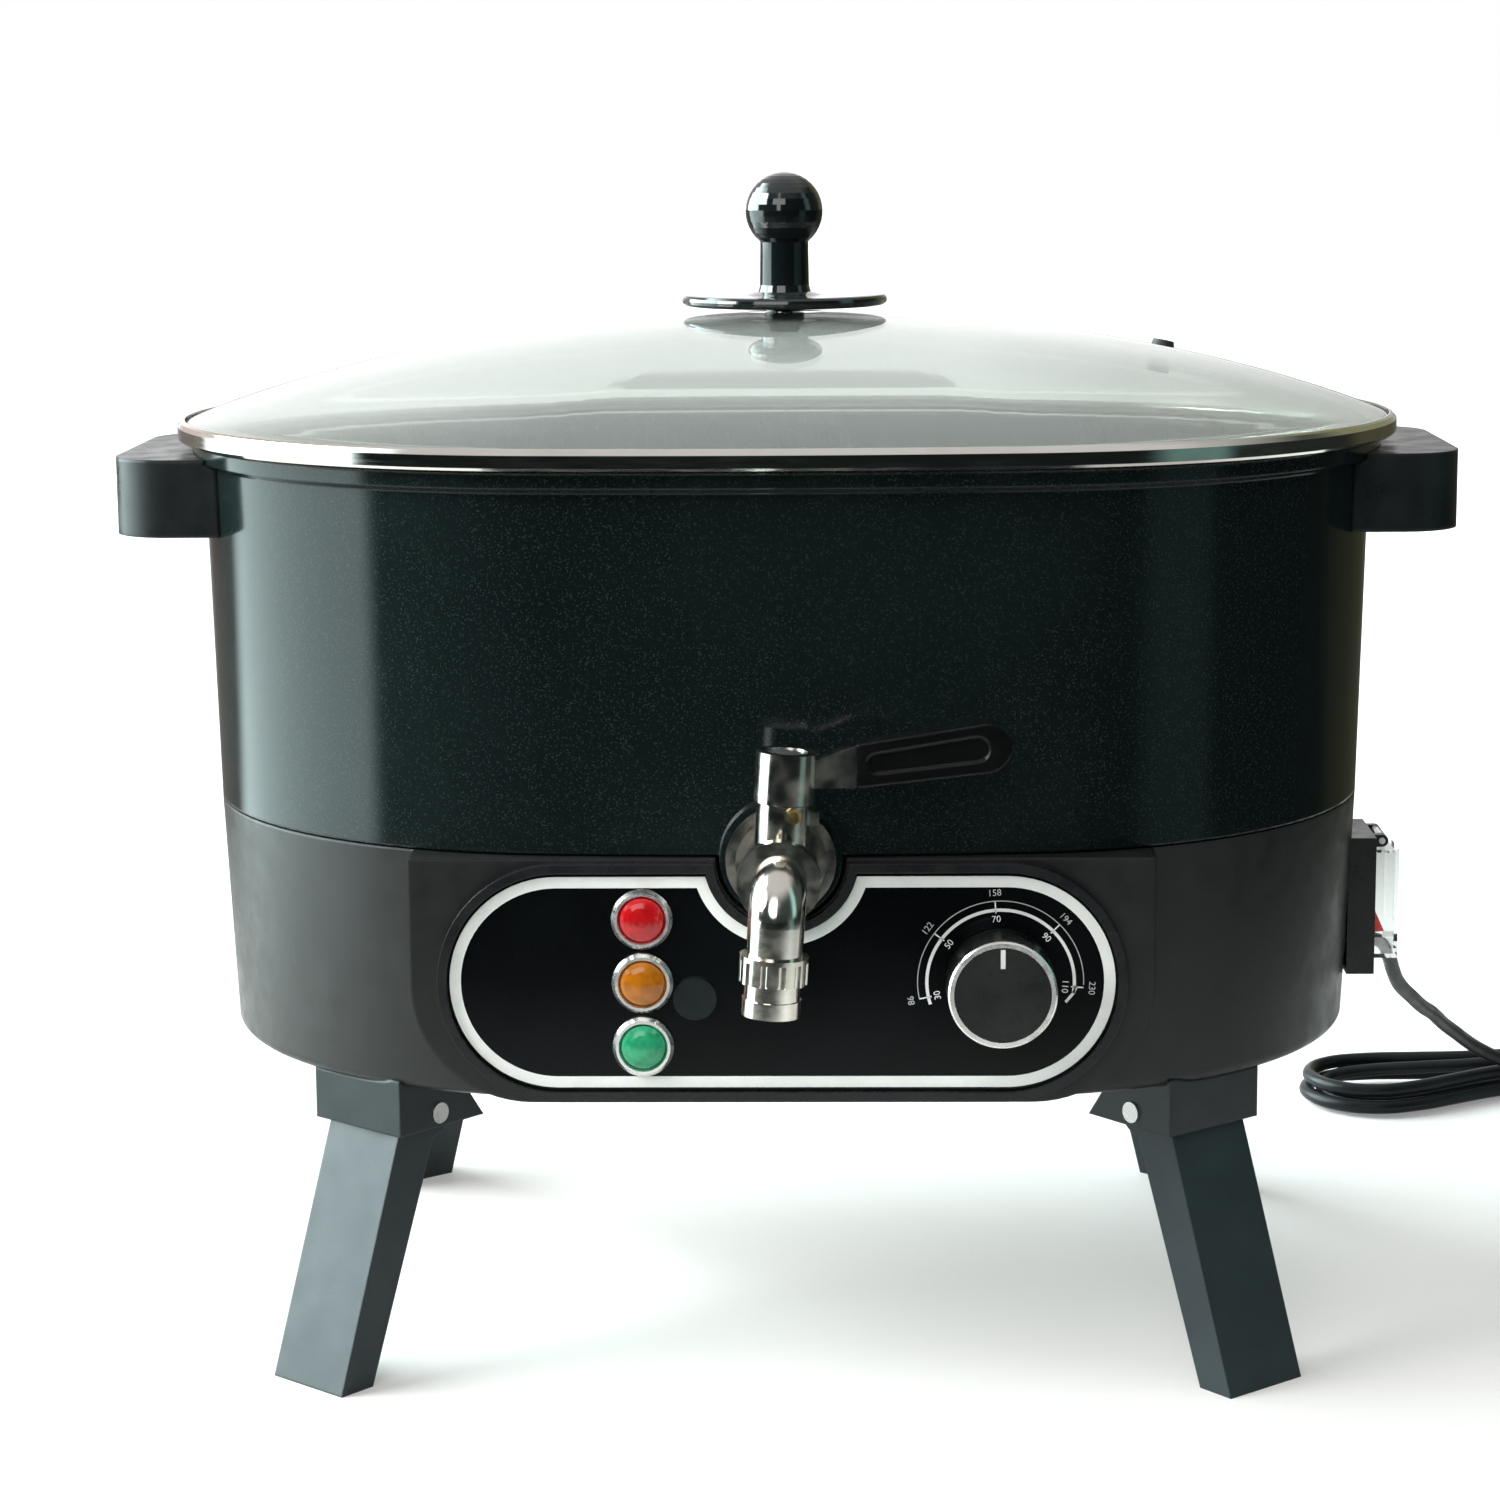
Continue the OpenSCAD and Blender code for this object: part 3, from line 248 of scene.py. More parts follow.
# --- lid glass -------------------------------------------------------------------------
# The oval seam's long sides are flat arcs, in mm: how far they bulge, how far past the middle their
# centre lies, and their radius. BLEND is half the turn of such an arc, in degrees.
FRONT_BULGE = 2.5
LONG_K = (END_X ** 2 - FRONT_BULGE ** 2) / (2 * FRONT_BULGE)
LONG_R = END_R + FRONT_BULGE + LONG_K
BLEND = math.degrees(math.atan(END_X / LONG_K))
# The dome, in mm: how far its edge lies outside the seam, its thickness, and its heights
GLASS_EDGE = 8.9
GLASS_T = 3.2
RIM_Z = 268
DOME_H = 36.5
DOME_POWER = 0.9
GLASS_LOW = RIM_Z + 1.4
SCREW_HOLE_SHARE = 3.3 / 125
DOME_RINGS = 30
DOME_RING_POWER = 1.25
END_STEPS = 20
LONG_STEPS = 9
# The vent hole: its turn round the end, its share of the way out, its lean and its radius in mm, then
# the sides and half the length of the drill that cuts it
VENT_TURN = math.radians(27)
VENT_SHARE = 0.695
VENT_LEAN = math.radians(13.5)
VENT_R = 2.5
VENT_SIDES = 40
VENT_DRILL_HALF = 9


def oval_at(turn, grow):
    """The point of the oval's outline, grow outside the seam, whose outward way is turn degrees from +X."""
    side = 1 if math.cos(math.radians(turn)) >= 0 else -1
    away = turn if side > 0 else 180 - turn
    away = (away + 180) % 360 - 180
    if abs(away) <= 90 - BLEND:
        x = END_X + (END_R + grow) * math.cos(math.radians(away))
        y = (END_R + grow) * math.sin(math.radians(away))
    else:
        up = 1 if away > 0 else -1
        x = (LONG_R + grow) * math.cos(math.radians(away))
        y = up * ((LONG_R + grow) * abs(math.sin(math.radians(away))) - LONG_K)
    return Vector((side * x, y))


def oval_turns(ends, longs):
    """Outward directions round the oval, close together on the long sides, where they turn slowly."""
    quarter = [(90 - BLEND) * i / ends for i in range(ends)]
    quarter += [90 - BLEND + BLEND * i / longs for i in range(longs)]
    half = [round(t, 6) for t in quarter + [180 - t for t in reversed(quarter[1:] + [90])]]
    return half + [180 + t for t in half]


def dome_height(share):
    """Height of the dome's outside at a share of the way out from the middle to the edge."""
    edge_top = GLASS_LOW + GLASS_T
    return edge_top + (RIM_Z + DOME_H - edge_top) * max(0, 1 - share ** 2) ** DOME_POWER


def cut_vent_hole(glass):
    """Drills the round hole that the vent's grommet sits in."""
    reach = (END_R + GLASS_EDGE) * VENT_SHARE
    at = Vector((END_X * VENT_SHARE + reach * math.cos(VENT_TURN), reach * math.sin(VENT_TURN) + MIDDLE_Y,
                 dome_height(VENT_SHARE)))
    sides = VENT_SIDES
    ring = [(VENT_R * math.cos(math.tau * i / sides), VENT_R * math.sin(math.tau * i / sides))
            for i in range(sides)]
    points = [(x * MM, y * MM, z * MM) for z in (-VENT_DRILL_HALF, VENT_DRILL_HALF) for x, y in ring]
    walls = [(i, (i + 1) % sides, sides + (i + 1) % sides, sides + i) for i in range(sides)]
    ends = [tuple(reversed(range(sides))), tuple(range(sides, 2 * sides))]
    drill = add_mesh("vent_drill", points, walls + ends)
    lean = Matrix.Rotation(VENT_TURN, 4, "Z") @ Matrix.Rotation(VENT_LEAN, 4, "Y")
    drill.matrix_world = Matrix.Translation(at * MM) @ lean
    cut = glass.modifiers.new("vent_hole", "BOOLEAN")
    cut.operation = "DIFFERENCE"
    cut.object = drill
    drilled = evaluated_mesh(glass)
    glass.modifiers.remove(cut)
    glass.data = drilled
    bpy.data.objects.remove(drill)


def make_lid_glass():
    """The dome of even thickness, with its screw hole and its vent hole."""
    turns = oval_turns(END_STEPS, LONG_STEPS)
    edge = [oval_at(t, GLASS_EDGE) for t in turns]
    count = len(edge)
    steps = [(i / DOME_RINGS) ** DOME_RING_POWER for i in range(DOME_RINGS + 1)]
    shares = [1 - (1 - SCREW_HOLE_SHARE) * step for step in steps]
    points = []
    for drop in (0, GLASS_T):
        for share in shares:
            for p in edge:
                high = max(dome_height(share) - drop, GLASS_LOW)
                points.append((p.x * share * MM, (p.y * share + MIDDLE_Y) * MM, high * MM))
    layer = len(shares) * count
    faces = []
    for row in range(len(shares) - 1):
        for i in range(count):
            j = (i + 1) % count
            a, b = row * count, (row + 1) * count
            faces.append((a + i, a + j, b + j, b + i))
            faces.append((layer + a + i, layer + b + i, layer + b + j, layer + a + j))
    last = layer - count
    for i in range(count):
        j = (i + 1) % count
        faces.append((i, layer + i, layer + j, j))
        faces.append((last + i, last + j, layer + last + j, layer + last + i))
    glass = add_mesh("lid_glass_dome", points, faces, smooth=True)
    cut_vent_hole(glass)
    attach(glass, "lid")
    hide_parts("lid_glass")
    return glass


# --- prints on the control panel ---------------------------------------------------------
# The prints: half their thickness, how far off the panel their middle lies, and the outline's shape
PRINT_T = 0.06 * MM
PRINT_OUT = 0.02 * MM
OUTLINE_UP = 31.1 * MM
PANEL_LOW = Vector(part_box("fascia_panel")[0])
PANEL_Y = PANEL_LOW.y - PRINT_OUT
PANEL_MIDDLE = Vector((0, PANEL_LOW.z + OUTLINE_UP))
LINE_W = 3.2 * MM
OUTLINE_HALF_H = 28.7 * MM
OUTLINE_HALF_W = 63 * MM
NOTCH_R = 23.3 * MM
NOTCH_UP = 35.3 * MM
OUTLINE_END_STEPS = 40
NOTCH_STEPS = 36
# The dial's scale: its arcs in degrees from +X, its ticks and its numbers, first inside, then outside
SCALE_R = 20.6 * MM
SCALE_ENDS = (198, -9)
SCALE_W = 0.9 * MM
SCALE_STEPS = 60
OUTER_ARC_OUT = 2.6 * MM
OUTER_ARC_ENDS = (192, -2)
OUTER_ARC_W = 0.25 * MM
FIRST_TICK = 192
TICK_STEP = 49
TICK_W = 0.35 * MM
NUMBERS = ((30, 86), (50, 122), (70, 158), (90, 194), (110, 230))
NUMBER_SIZE = 2.6 * MM
NUMBER_IN = 2.6 * MM
NUMBER_OUT = 4.9 * MM
ARROW_W = 0.8 * MM
ARROW_TAIL = Vector((-2.2, -2.6)) * MM
ARROW_TIP = Vector((0.9, 2.0)) * MM


def ride_print(piece, material):
    """Puts a print on the melter's body in one material."""
    piece.data.materials.append(material)
    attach(piece, "melter_body")


def outline_path():
    """The middle of the pale line: a long round-ended shape with a dip round the tap."""
    dip_x = math.sqrt(NOTCH_R ** 2 - (NOTCH_UP - OUTLINE_HALF_H) ** 2)
    dip_turn = math.degrees(math.atan2(OUTLINE_HALF_H - NOTCH_UP, dip_x))
    cx, cz = PANEL_MIDDLE
    right_end = arc((cx + OUTLINE_HALF_W, cz), OUTLINE_HALF_H, 90, -90, OUTLINE_END_STEPS)
    left_end = arc((cx - OUTLINE_HALF_W, cz), OUTLINE_HALF_H, 270, 90, OUTLINE_END_STEPS)
    dip = arc((cx, cz + NOTCH_UP), NOTCH_R, 180 - dip_turn, 360 + dip_turn, NOTCH_STEPS)
    return right_end + left_end + dip


def text_mesh(name, words, size, at, turn):
    """Flat lettering of plain numbers on the panel, facing the front."""
    curve = bpy.data.curves.new(name, "FONT")
    curve.body = words
    curve.size = size
    curve.align_x = "CENTER"
    curve.align_y = "CENTER"
    curve.extrude = PRINT_T
    holder = bpy.data.objects.new(name + "_text", curve)
    bpy.context.scene.collection.objects.link(holder)
    mesh = evaluated_mesh(holder)
    bpy.data.objects.remove(holder)
    stand = Matrix.Rotation(math.radians(90), 4, "X")
    lean = Matrix.Rotation(math.radians(turn), 4, "Y")
    mesh.transform(Matrix.Translation((at[0], PANEL_Y, at[1])) @ lean @ stand)
    mesh.materials.clear()
    piece = bpy.data.objects.new(name, mesh)
    bpy.context.scene.collection.objects.link(piece)
    return piece


def on_dial(turn, radius):
    """The point (x, z) at this turn and radius round the thermostat knob's middle."""
    knob = middle("thermostat_knob")
    angle = math.radians(turn)
    return Vector((knob.x, knob.z)) + radius * Vector((math.cos(angle), math.sin(angle)))


def print_line(name, path, width, material):
    """A printed line on the panel."""
    ride_print(ribbon(name, path, width, PANEL_Y, PRINT_T), material)


def print_number(number, turn, radius, material):
    """A plain number on the scale, its foot towards the dial."""
    at = on_dial(turn, radius)
    ride_print(text_mesh(f"dial_number_{number}", str(number), NUMBER_SIZE, at, 90 - turn), material)


def make_prints(white, faint):
    """The panel's outline, the scale round the dial and its numbers."""
    ride_print(ribbon("panel_outline_print", outline_path(), LINE_W, PANEL_Y, PRINT_T, closed=True), white)
    centre = on_dial(0, 0)
    outer_r = SCALE_R + OUTER_ARC_OUT
    inner_arc = arc(centre, SCALE_R, *SCALE_ENDS, SCALE_STEPS)
    outer_arc = arc(centre, outer_r, *OUTER_ARC_ENDS, SCALE_STEPS)
    print_line("dial_arc_print", inner_arc, SCALE_W, white)
    print_line("dial_outer_arc_print", outer_arc, OUTER_ARC_W, faint)
    for i, (inner_number, outer_number) in enumerate(NUMBERS):
        turn = FIRST_TICK - i * TICK_STEP
        tick = [tuple(on_dial(turn, SCALE_R - SCALE_W)), tuple(on_dial(turn, outer_r))]
        print_line(f"dial_tick_print_{i}", tick, TICK_W, white)
        print_number(inner_number, turn, SCALE_R - NUMBER_IN, white)
        print_number(outer_number, turn, SCALE_R + NUMBER_OUT, faint)
    end = on_dial(SCALE_ENDS[1], SCALE_R)
    arrow = [tuple(end + ARROW_TAIL), tuple(end), tuple(end + ARROW_TIP)]
    print_line("dial_arrow_print", arrow, ARROW_W, white)


# --- materials ---------------------------------------------------------------------------
class Look:
    """A Principled material with its procedural detail, all in object coordinates."""

    def __init__(self, name, color, rough, metallic=0.0):
        self.material = bpy.data.materials.new(name)
        self.material.use_nodes = True
        self.tree = self.material.node_tree
        self.nodes = self.tree.nodes
        self.links = self.tree.links
        self.shader = self.nodes["Principled BSDF"]
        self.color = color
        self.shader.inputs["Base Color"].default_value = (*color, 1)
        self.shader.inputs["Roughness"].default_value = rough
        self.shader.inputs["Metallic"].default_value = metallic
        coordinates = self.nodes.new("ShaderNodeTexCoord")
        self.place = coordinates.outputs["Object"]

    def set(self, **values):
        """Sets inputs of the shader, named with underscores for spaces."""
        for key, value in values.items():
            self.shader.inputs[key.replace("_", " ")].default_value = value
        return self

    def noise(self, scale, detail=4.0, stretch=(1, 1, 1)):
        """A cloudy value from about 0.3 to 0.7."""
        source = self.place
        if stretch != (1, 1, 1):
            mapping = self.nodes.new("ShaderNodeMapping")
            mapping.inputs["Scale"].default_value = stretch
            self.links.new(self.place, mapping.inputs["Vector"])
            source = mapping.outputs["Vector"]
        node = self.nodes.new("ShaderNodeTexNoise")
        node.inputs["Scale"].default_value = scale
        node.inputs["Detail"].default_value = detail
        self.links.new(source, node.inputs["Vector"])
        return node.outputs["Fac"]

    def spots(self, scale, share):
        """This share of small cells comes out white."""
        cells = self.nodes.new("ShaderNodeTexVoronoi")
        cells.inputs["Scale"].default_value = scale
        self.links.new(self.place, cells.inputs["Vector"])
        split = self.nodes.new("ShaderNodeSeparateColor")
        self.links.new(cells.outputs["Color"], split.inputs["Color"])
        return self.spread(split.outputs["Red"], 1 - share - 0.03, 1 - share + 0.03, 0, 1)

    def spread(self, value, low, high, to_low, to_high):
        """Maps low to to_low and high to to_high, and holds what lies outside."""
        node = self.nodes.new("ShaderNodeMapRange")
        node.inputs["From Min"].default_value = low
        node.inputs["From Max"].default_value = high
        node.inputs["To Min"].default_value = to_low
        node.inputs["To Max"].default_value = to_high
        self.links.new(value, node.inputs["Value"])
        return node.outputs["Result"]

    def blend(self, factor, base, top):
        """Mixes two colours; base may be a colour or an earlier mix."""
        node = self.nodes.new("ShaderNodeMix")
        node.data_type = "RGBA"
        self.links.new(factor, node.inputs["Factor"])
        if isinstance(base, tuple):
            node.inputs["A"].default_value = (*base, 1)
        else:
            self.links.new(base, node.inputs["A"])
        node.inputs["B"].default_value = (*top, 1)
        return node.outputs["Result"]

    def tint(self, output):
        """Takes this colour as the base colour."""
        self.links.new(output, self.shader.inputs["Base Color"])
        return self

    def mottle(self, scale, top, low=0.4, high=0.7):
        """Clouds of another colour over the base colour."""
        return self.tint(self.blend(self.spread(self.noise(scale), low, high, 0, 1), self.color, top))

    def rough_between(self, scale, low, high, stretch=(1, 1, 1)):
        """A roughness that changes over the surface."""
        value = self.spread(self.noise(scale, 3.0, stretch), 0.35, 0.65, low, high)
        self.links.new(value, self.shader.inputs["Roughness"])
        return self

    def soften(self, radius):
        """Catches the light along edges as a moulding's small rounding does."""
        node = self.nodes.new("ShaderNodeBevel")
        node.samples = 4
        node.inputs["Radius"].default_value = radius
        self.links.new(node.outputs["Normal"], self.shader.inputs["Normal"])
        return self

    def bump(self, height, depth, strength=1.0):
        """Fine relief on top of any softened edges."""
        node = self.nodes.new("ShaderNodeBump")
        node.inputs["Strength"].default_value = strength
        node.inputs["Distance"].default_value = depth
        self.links.new(height, node.inputs["Height"])
        if self.shader.inputs["Normal"].links:
            self.links.new(self.shader.inputs["Normal"].links[0].from_socket, node.inputs["Normal"])
        self.links.new(node.outputs["Normal"], self.shader.inputs["Normal"])
        return self


def pot_coating():
    """Dark enamel with very fine paler specks."""
    look = Look("pot_coating", (0.0046, 0.0082, 0.0080), 0.16)
    clouds = look.blend(look.spread(look.noise(14), 0.35, 0.7, 0, 1), look.color, (0.0066, 0.0112, 0.0108))
    flecks = look.blend(look.spots(2500, 0.10), clouds, (0.016, 0.024, 0.024))
    look.tint(flecks).rough_between(60, 0.09, 0.13).soften(0.0008)
    look.bump(look.noise(900, 3.0), 0.00002, 0.25)
    return look.set(Specular_IOR_Level=0.30).material


def moulded(name, color, lighter, rough, grain=900.0, depth=0.00006, edge=0.0):
    """Moulded plastic or rubber with a fine grain, and edges softened by edge metres."""
    look = Look(name, color, rough)
    look.mottle(45, lighter).rough_between(120, rough - 0.06, rough + 0.06)
    if edge:
        look.soften(edge)
    return look.bump(look.noise(grain, 3.0), depth, 0.4).set(Specular_IOR_Level=0.28)


def gloss_panel():
    """The fascia's black, nearly flat gloss."""
    look = Look("gloss_panel", (0.0022, 0.0028, 0.0032), 0.10)
    look.mottle(30, (0.0035, 0.0045, 0.005)).rough_between(35, 0.08, 0.13)
    look.bump(look.noise(9, 2.0), 0.0001, 0.1)
    return look.set(Specular_IOR_Level=0.12).material


def metal(name, color, darker, rough_low, rough_high, grain=(1, 1, 1), scale=260.0, depth=0.00003):
    """Bare metal whose brushing runs the way that grain stretches it."""
    look = Look(name, color, rough_low, 1.0)
    look.mottle(60, darker, 0.45, 0.8).rough_between(scale, rough_low, rough_high, grain)
    return look.bump(look.noise(scale * 2, 3.0, grain), depth, 0.3)


def clear(name, color, ior, rough, through):
    """Glass or clear plastic that lets this share of the light through."""
    look = Look(name, color, rough)
    look.mottle(8, tuple(c * 0.985 for c in color)).rough_between(20, rough, rough + 0.01)
    return look.set(Transmission_Weight=through, IOR=ior).bump(look.noise(6, 2.0), 0.0001, 0.1)


def lens(name, color, glow=0.10):
    """A textured lamp lens, lit a little from inside."""
    look = Look(name, color, 0.18)
    look.mottle(330, tuple(c * 0.55 for c in color))
    look.bump(look.noise(420, 2.0), 0.00012, 0.5)
    look.set(Coat_Weight=0.35, Coat_Roughness=0.05, Specular_IOR_Level=0.3)
    return look.set(Emission_Color=(*color, 1), Emission_Strength=glow).material


def dial_face():
    """Black spun metal: fine rings round the knob's own axis."""
    look = Look("dial_black", (0.006, 0.007, 0.007), 0.3, 0.3)
    knob = middle("thermostat_knob")
    shift = look.nodes.new("ShaderNodeMapping")
    shift.inputs["Location"].default_value = (-knob.x, 0, -knob.z)
    shift.inputs["Scale"].default_value = (1, 0, 1)
    look.links.new(look.place, shift.inputs["Vector"])
    rings = look.nodes.new("ShaderNodeTexWave")
    rings.wave_type = "RINGS"
    rings.rings_direction = "SPHERICAL"
    rings.inputs["Scale"].default_value = 900
    rings.inputs["Distortion"].default_value = 0.2
    look.links.new(shift.outputs["Vector"], rings.inputs["Vector"])
    look.mottle(80, (0.011, 0.012, 0.012)).rough_between(200, 0.24, 0.36)
    return look.bump(rings.outputs["Fac"], 0.00003, 0.5).material


def white_print(name, color):
    """Thin matt ink."""
    look = Look(name, color, 0.4)
    look.mottle(120, tuple(c * 0.92 for c in color)).rough_between(300, 0.35, 0.5)
    return look.bump(look.noise(900, 2.0), 0.00002, 0.3).material


def dress(material, *names):
    """Gives CAD nodes one material."""
    for name in names:
        piece = NODES[name]
        if not piece.material_slots:
            piece.data.materials.append(material)
        for slot in piece.material_slots:
            slot.material = material


def dress_shells():
    """The pot, the base, the handles and the legs."""
    dress(pot_coating(), "pot")
    base = moulded("base_plastic", (0.0115, 0.0120, 0.0110), (0.0150, 0.0155, 0.0143), 0.36, edge=0.0012)
    dress(base.material, "base_housing")
    handle = moulded("handle_plastic", (0.010, 0.013, 0.013), (0.014, 0.017, 0.017), 0.32, edge=0.0016)
    dress(handle.material, "side_handle_left", "side_handle_right")
    legs = moulded("leg_plastic", (0.018, 0.026, 0.029), (0.024, 0.033, 0.037), 0.38, edge=0.0008)
    dress(legs.material, "leg_front_left", "leg_front_right", "leg_rear_left", "leg_rear_right")
    bracket = moulded("bracket_plastic", (0.013, 0.019, 0.020), (0.018, 0.025, 0.026), 0.36, edge=0.0010)
    dress(bracket.material, "leg_brackets")


def dress_panel():
    """The control panel with its lamps, blank cap and dial."""
    bezel = moulded("bezel_plastic", (0.009, 0.009, 0.010), (0.012, 0.012, 0.013), 0.28, edge=0.0006)
    dress(bezel.material, "panel_bezel")
    dress(gloss_panel(), "fascia_panel")
    bright = metal("bright_metal", (0.84, 0.82, 0.80), (0.76, 0.74, 0.72), 0.20, 0.30)
    dress(bright.material, "lamp_bezels", "dial_ring")
    dress(lens("lens_red", (0.46, 0.005, 0.008)), "lamp_lens_red")
    dress(lens("lens_amber", (0.40, 0.125, 0.003)), "lamp_lens_amber")
    dress(lens("lens_green", (0.022, 0.32, 0.145)), "lamp_lens_green")
    cap = moulded("cap_black", (0.006, 0.009, 0.0095), (0.009, 0.013, 0.013), 0.22)
    dress(cap.material, "blank_cap")
    dress(dial_face(), "thermostat_knob")
    dress(white_print("pointer_white", (0.85, 0.85, 0.84)), "dial_pointer")
    faint = white_print("print_faint", (0.50, 0.50, 0.48))
    make_prints(white_print("print_white", (0.92, 0.92, 0.88)), faint)


def dress_tap():
    """The tap's steel, its black grip and its gaskets."""
    steel = metal("tap_steel", (0.70, 0.665, 0.60), (0.60, 0.56, 0.49), 0.10, 0.22,
                  scale=180, depth=0.00005)
    dress(steel.material, "tap_body", "tap_flange_washer", "tap_stem", "tap_ball", "tap_lever",
          "outlet_nut", "outlet_nozzle")
    grip = moulded("grip_black", (0.003, 0.003, 0.003), (0.005, 0.005, 0.005), 0.16,
                   grain=500, depth=0.00002, edge=0.0009)
    dress(grip.set(Coat_Weight=0.8, Coat_Roughness=0.06).material, "lever_grip")
    rubber = moulded("gasket_rubber", (0.03, 0.03, 0.03), (0.04, 0.04, 0.038), 0.6)
    dress(rubber.material, "tap_outer_gasket", "vent_grommet")
    red_rubber = moulded("gasket_red", (0.35, 0.09, 0.06), (0.4, 0.12, 0.08), 0.6)
    dress(red_rubber.material, "tap_inner_gasket")


def dress_lid(glass):
    """The lid's glass, its rim band, its knob and the guard plate."""
    pane = clear("lid_clear", (0.87, 0.92, 0.88), ior=1.45, rough=0.01, through=0.92)
    glass.data.materials.append(pane.material)
    rim = metal("lid_steel", (0.70, 0.67, 0.63), (0.62, 0.59, 0.54), 0.07, 0.14,
                grain=(1, 1, 12), scale=90, depth=0.00002)
    dress(rim.material, "lid_rim_band")
    knob = moulded("lid_knob_black", (0.005, 0.007, 0.0075), (0.008, 0.011, 0.011), 0.10,
                   grain=400, depth=0.00002)
    dress(knob.set(Coat_Weight=0.7, Coat_Roughness=0.04).material, "knob_guard", "lid_knob")


def dress_switch():
    """The rocker switch and its clear cover."""
    switch = moulded("switch_black", (0.008, 0.008, 0.008), (0.012, 0.012, 0.012), 0.3)
    dress(switch.material, "switch_frame", "switch_body")
    rocker = moulded("rocker_red", (0.55, 0.012, 0.012), (0.48, 0.01, 0.01), 0.2,
                     grain=600, depth=0.00002)
    dress(rocker.material, "power_rocker")
    cover = clear("cover_clear", (0.93, 0.945, 0.94), ior=1.10, rough=0.01, through=0.98)
    dress(cover.material, "switch_cover")


def dress_small_metal():
    """Screws, pins and the brass parts."""
    screws = metal("screw_steel", (0.55, 0.55, 0.54), (0.4, 0.4, 0.4), 0.25, 0.4)
    dress(screws.material, "base_screws", "handle_screws", "leg_pivot_pins", "cover_hinge_pin",
          "lid_knob_screw", "tap_inner_nut", "lever_screw")
    brass = metal("gland_brass", (0.70, 0.50, 0.20), (0.55, 0.38, 0.14), 0.2, 0.35)
    dress(brass.material, "gland_screw", "plug_pins")


def dress_inside():
    """What is under the pot and behind the panel."""
    sheet = metal("sheet_steel", (0.5, 0.5, 0.49), (0.4, 0.4, 0.39), 0.3, 0.5, grain=(1, 8, 1), scale=150)
    dress(sheet.material, "bottom_cover", "element_clamp_plate")
    control = metal("control_steel", (0.5, 0.5, 0.48), (0.42, 0.42, 0.4), 0.3, 0.45)
    dress(control.material, "thermostat_shaft", "thermostat_body", "thermal_fuse")
    element = metal("element_metal", (0.32, 0.28, 0.24), (0.2, 0.18, 0.16), 0.4, 0.6)
    dress(element.material, "heating_element")
    lamp_white = moulded("lamp_white", (0.75, 0.74, 0.7), (0.7, 0.69, 0.65), 0.45)
    dress(lamp_white.material, "lamp_bodies")
    nylon = moulded("terminal_nylon", (0.8, 0.78, 0.72), (0.74, 0.72, 0.66), 0.5)
    dress(nylon.material, "terminal_block")


def dress_cord(cord):
    """The cord, its strain relief, its tie and its plug."""
    rubber = moulded("cord_rubber", (0.010, 0.012, 0.013), (0.014, 0.016, 0.017), 0.34,
                     grain=700, depth=0.00004)
    dress(rubber.set(Specular_IOR_Level=0.15).material, "strain_relief", "cord_tie", "plug_body")
    cord.data.materials.append(rubber.material)


def dress_all(cord, glass):
    """Every node's finish."""
    dress_shells()
    dress_panel()
    dress_tap()
    dress_lid(glass)
    dress_switch()
    dress_small_metal()
    dress_inside()
    dress_cord(cord)


# --- floor, world and lamps ----------------------------------------------------------------
DARK = (0.002, 0.003, 0.003)
DIM = (0.005, 0.006, 0.0055)
PALE = (0.09, 0.09, 0.09)
GREY = (0.035, 0.035, 0.034)
CEILING = (0.05, 0.05, 0.05)
SOFT_BOX = (0.82, 1.0, 1.0)
WARM_EDGE = (0.050, 0.044, 0.040)
TEAL = (0.035, 0.062, 0.058)
OLIVE = (0.018, 0.018, 0.011)
ROOM_STRENGTH = 15.0
# How far up, as a share of straight up, the walls give way to the ceiling
CEILING_FROM = (0.6, 0.85)
# The room seen by the object: degrees from straight behind it, to the right, and what stands there
ROOM = (
    (-180, DARK), (-99, DARK), (-95, SOFT_BOX), (-50, SOFT_BOX), (-44, WARM_EDGE), (-24, WARM_EDGE),
    (-17, PALE), (4, PALE), (12, GREY), (24, OLIVE), (48, OLIVE), (56, DIM), (92, DIM), (96, TEAL),
    (108, TEAL), (114, DARK), (180, DARK),
)


def math_node(nodes, links, operation, first, second):
    """The result of one operation on two values."""
    node = nodes.new("ShaderNodeMath")
    node.operation = operation
    links.new(first, node.inputs[0])
    links.new(second, node.inputs[1])
    return node.outputs["Value"]


def map_range(nodes, links, value, low, high):
    """A value as a share of the way from low to high, held between 0 and 1."""
    node = nodes.new("ShaderNodeMapRange")
    node.inputs["From Min"].default_value = low
    node.inputs["From Max"].default_value = high
    links.new(value, node.inputs["Value"])
    return node.outputs["Result"]


def seen_by(nodes, links, *kinds):
    """1 for these kinds of ray, 0 for the rest."""
    path = nodes.new("ShaderNodeLightPath")
    share = path.outputs[kinds[0]]
    for kind in kinds[1:]:
        share = math_node(nodes, links, "MAXIMUM", share, path.outputs[kind])
    return share


def room_around(nodes, links, x, y, squeeze=1.0):
    """The room's colour in the direction x, y, by its turn from straight behind, times squeeze."""
    turn = math_node(nodes, links, "ARCTAN2", x, y)
    ramp = nodes.new("ShaderNodeValToRGB")
    links.new(map_range(nodes, links, turn, -math.pi / squeeze, math.pi / squeeze), ramp.inputs["Fac"])
    stops = ramp.color_ramp.elements
    # A new ramp has two stops already
    for _ in ROOM[2:]:
        stops.new(1)
    # Moving a stop can change the stops' order, so the colours come once all are in place
    for stop, (degrees, _) in zip(stops, ROOM):
        stop.position = 0.5 + degrees / 360
    for stop, (_, color) in zip(stops, ROOM):
        stop.color = (*color, 1)
    return ramp.outputs["Color"]


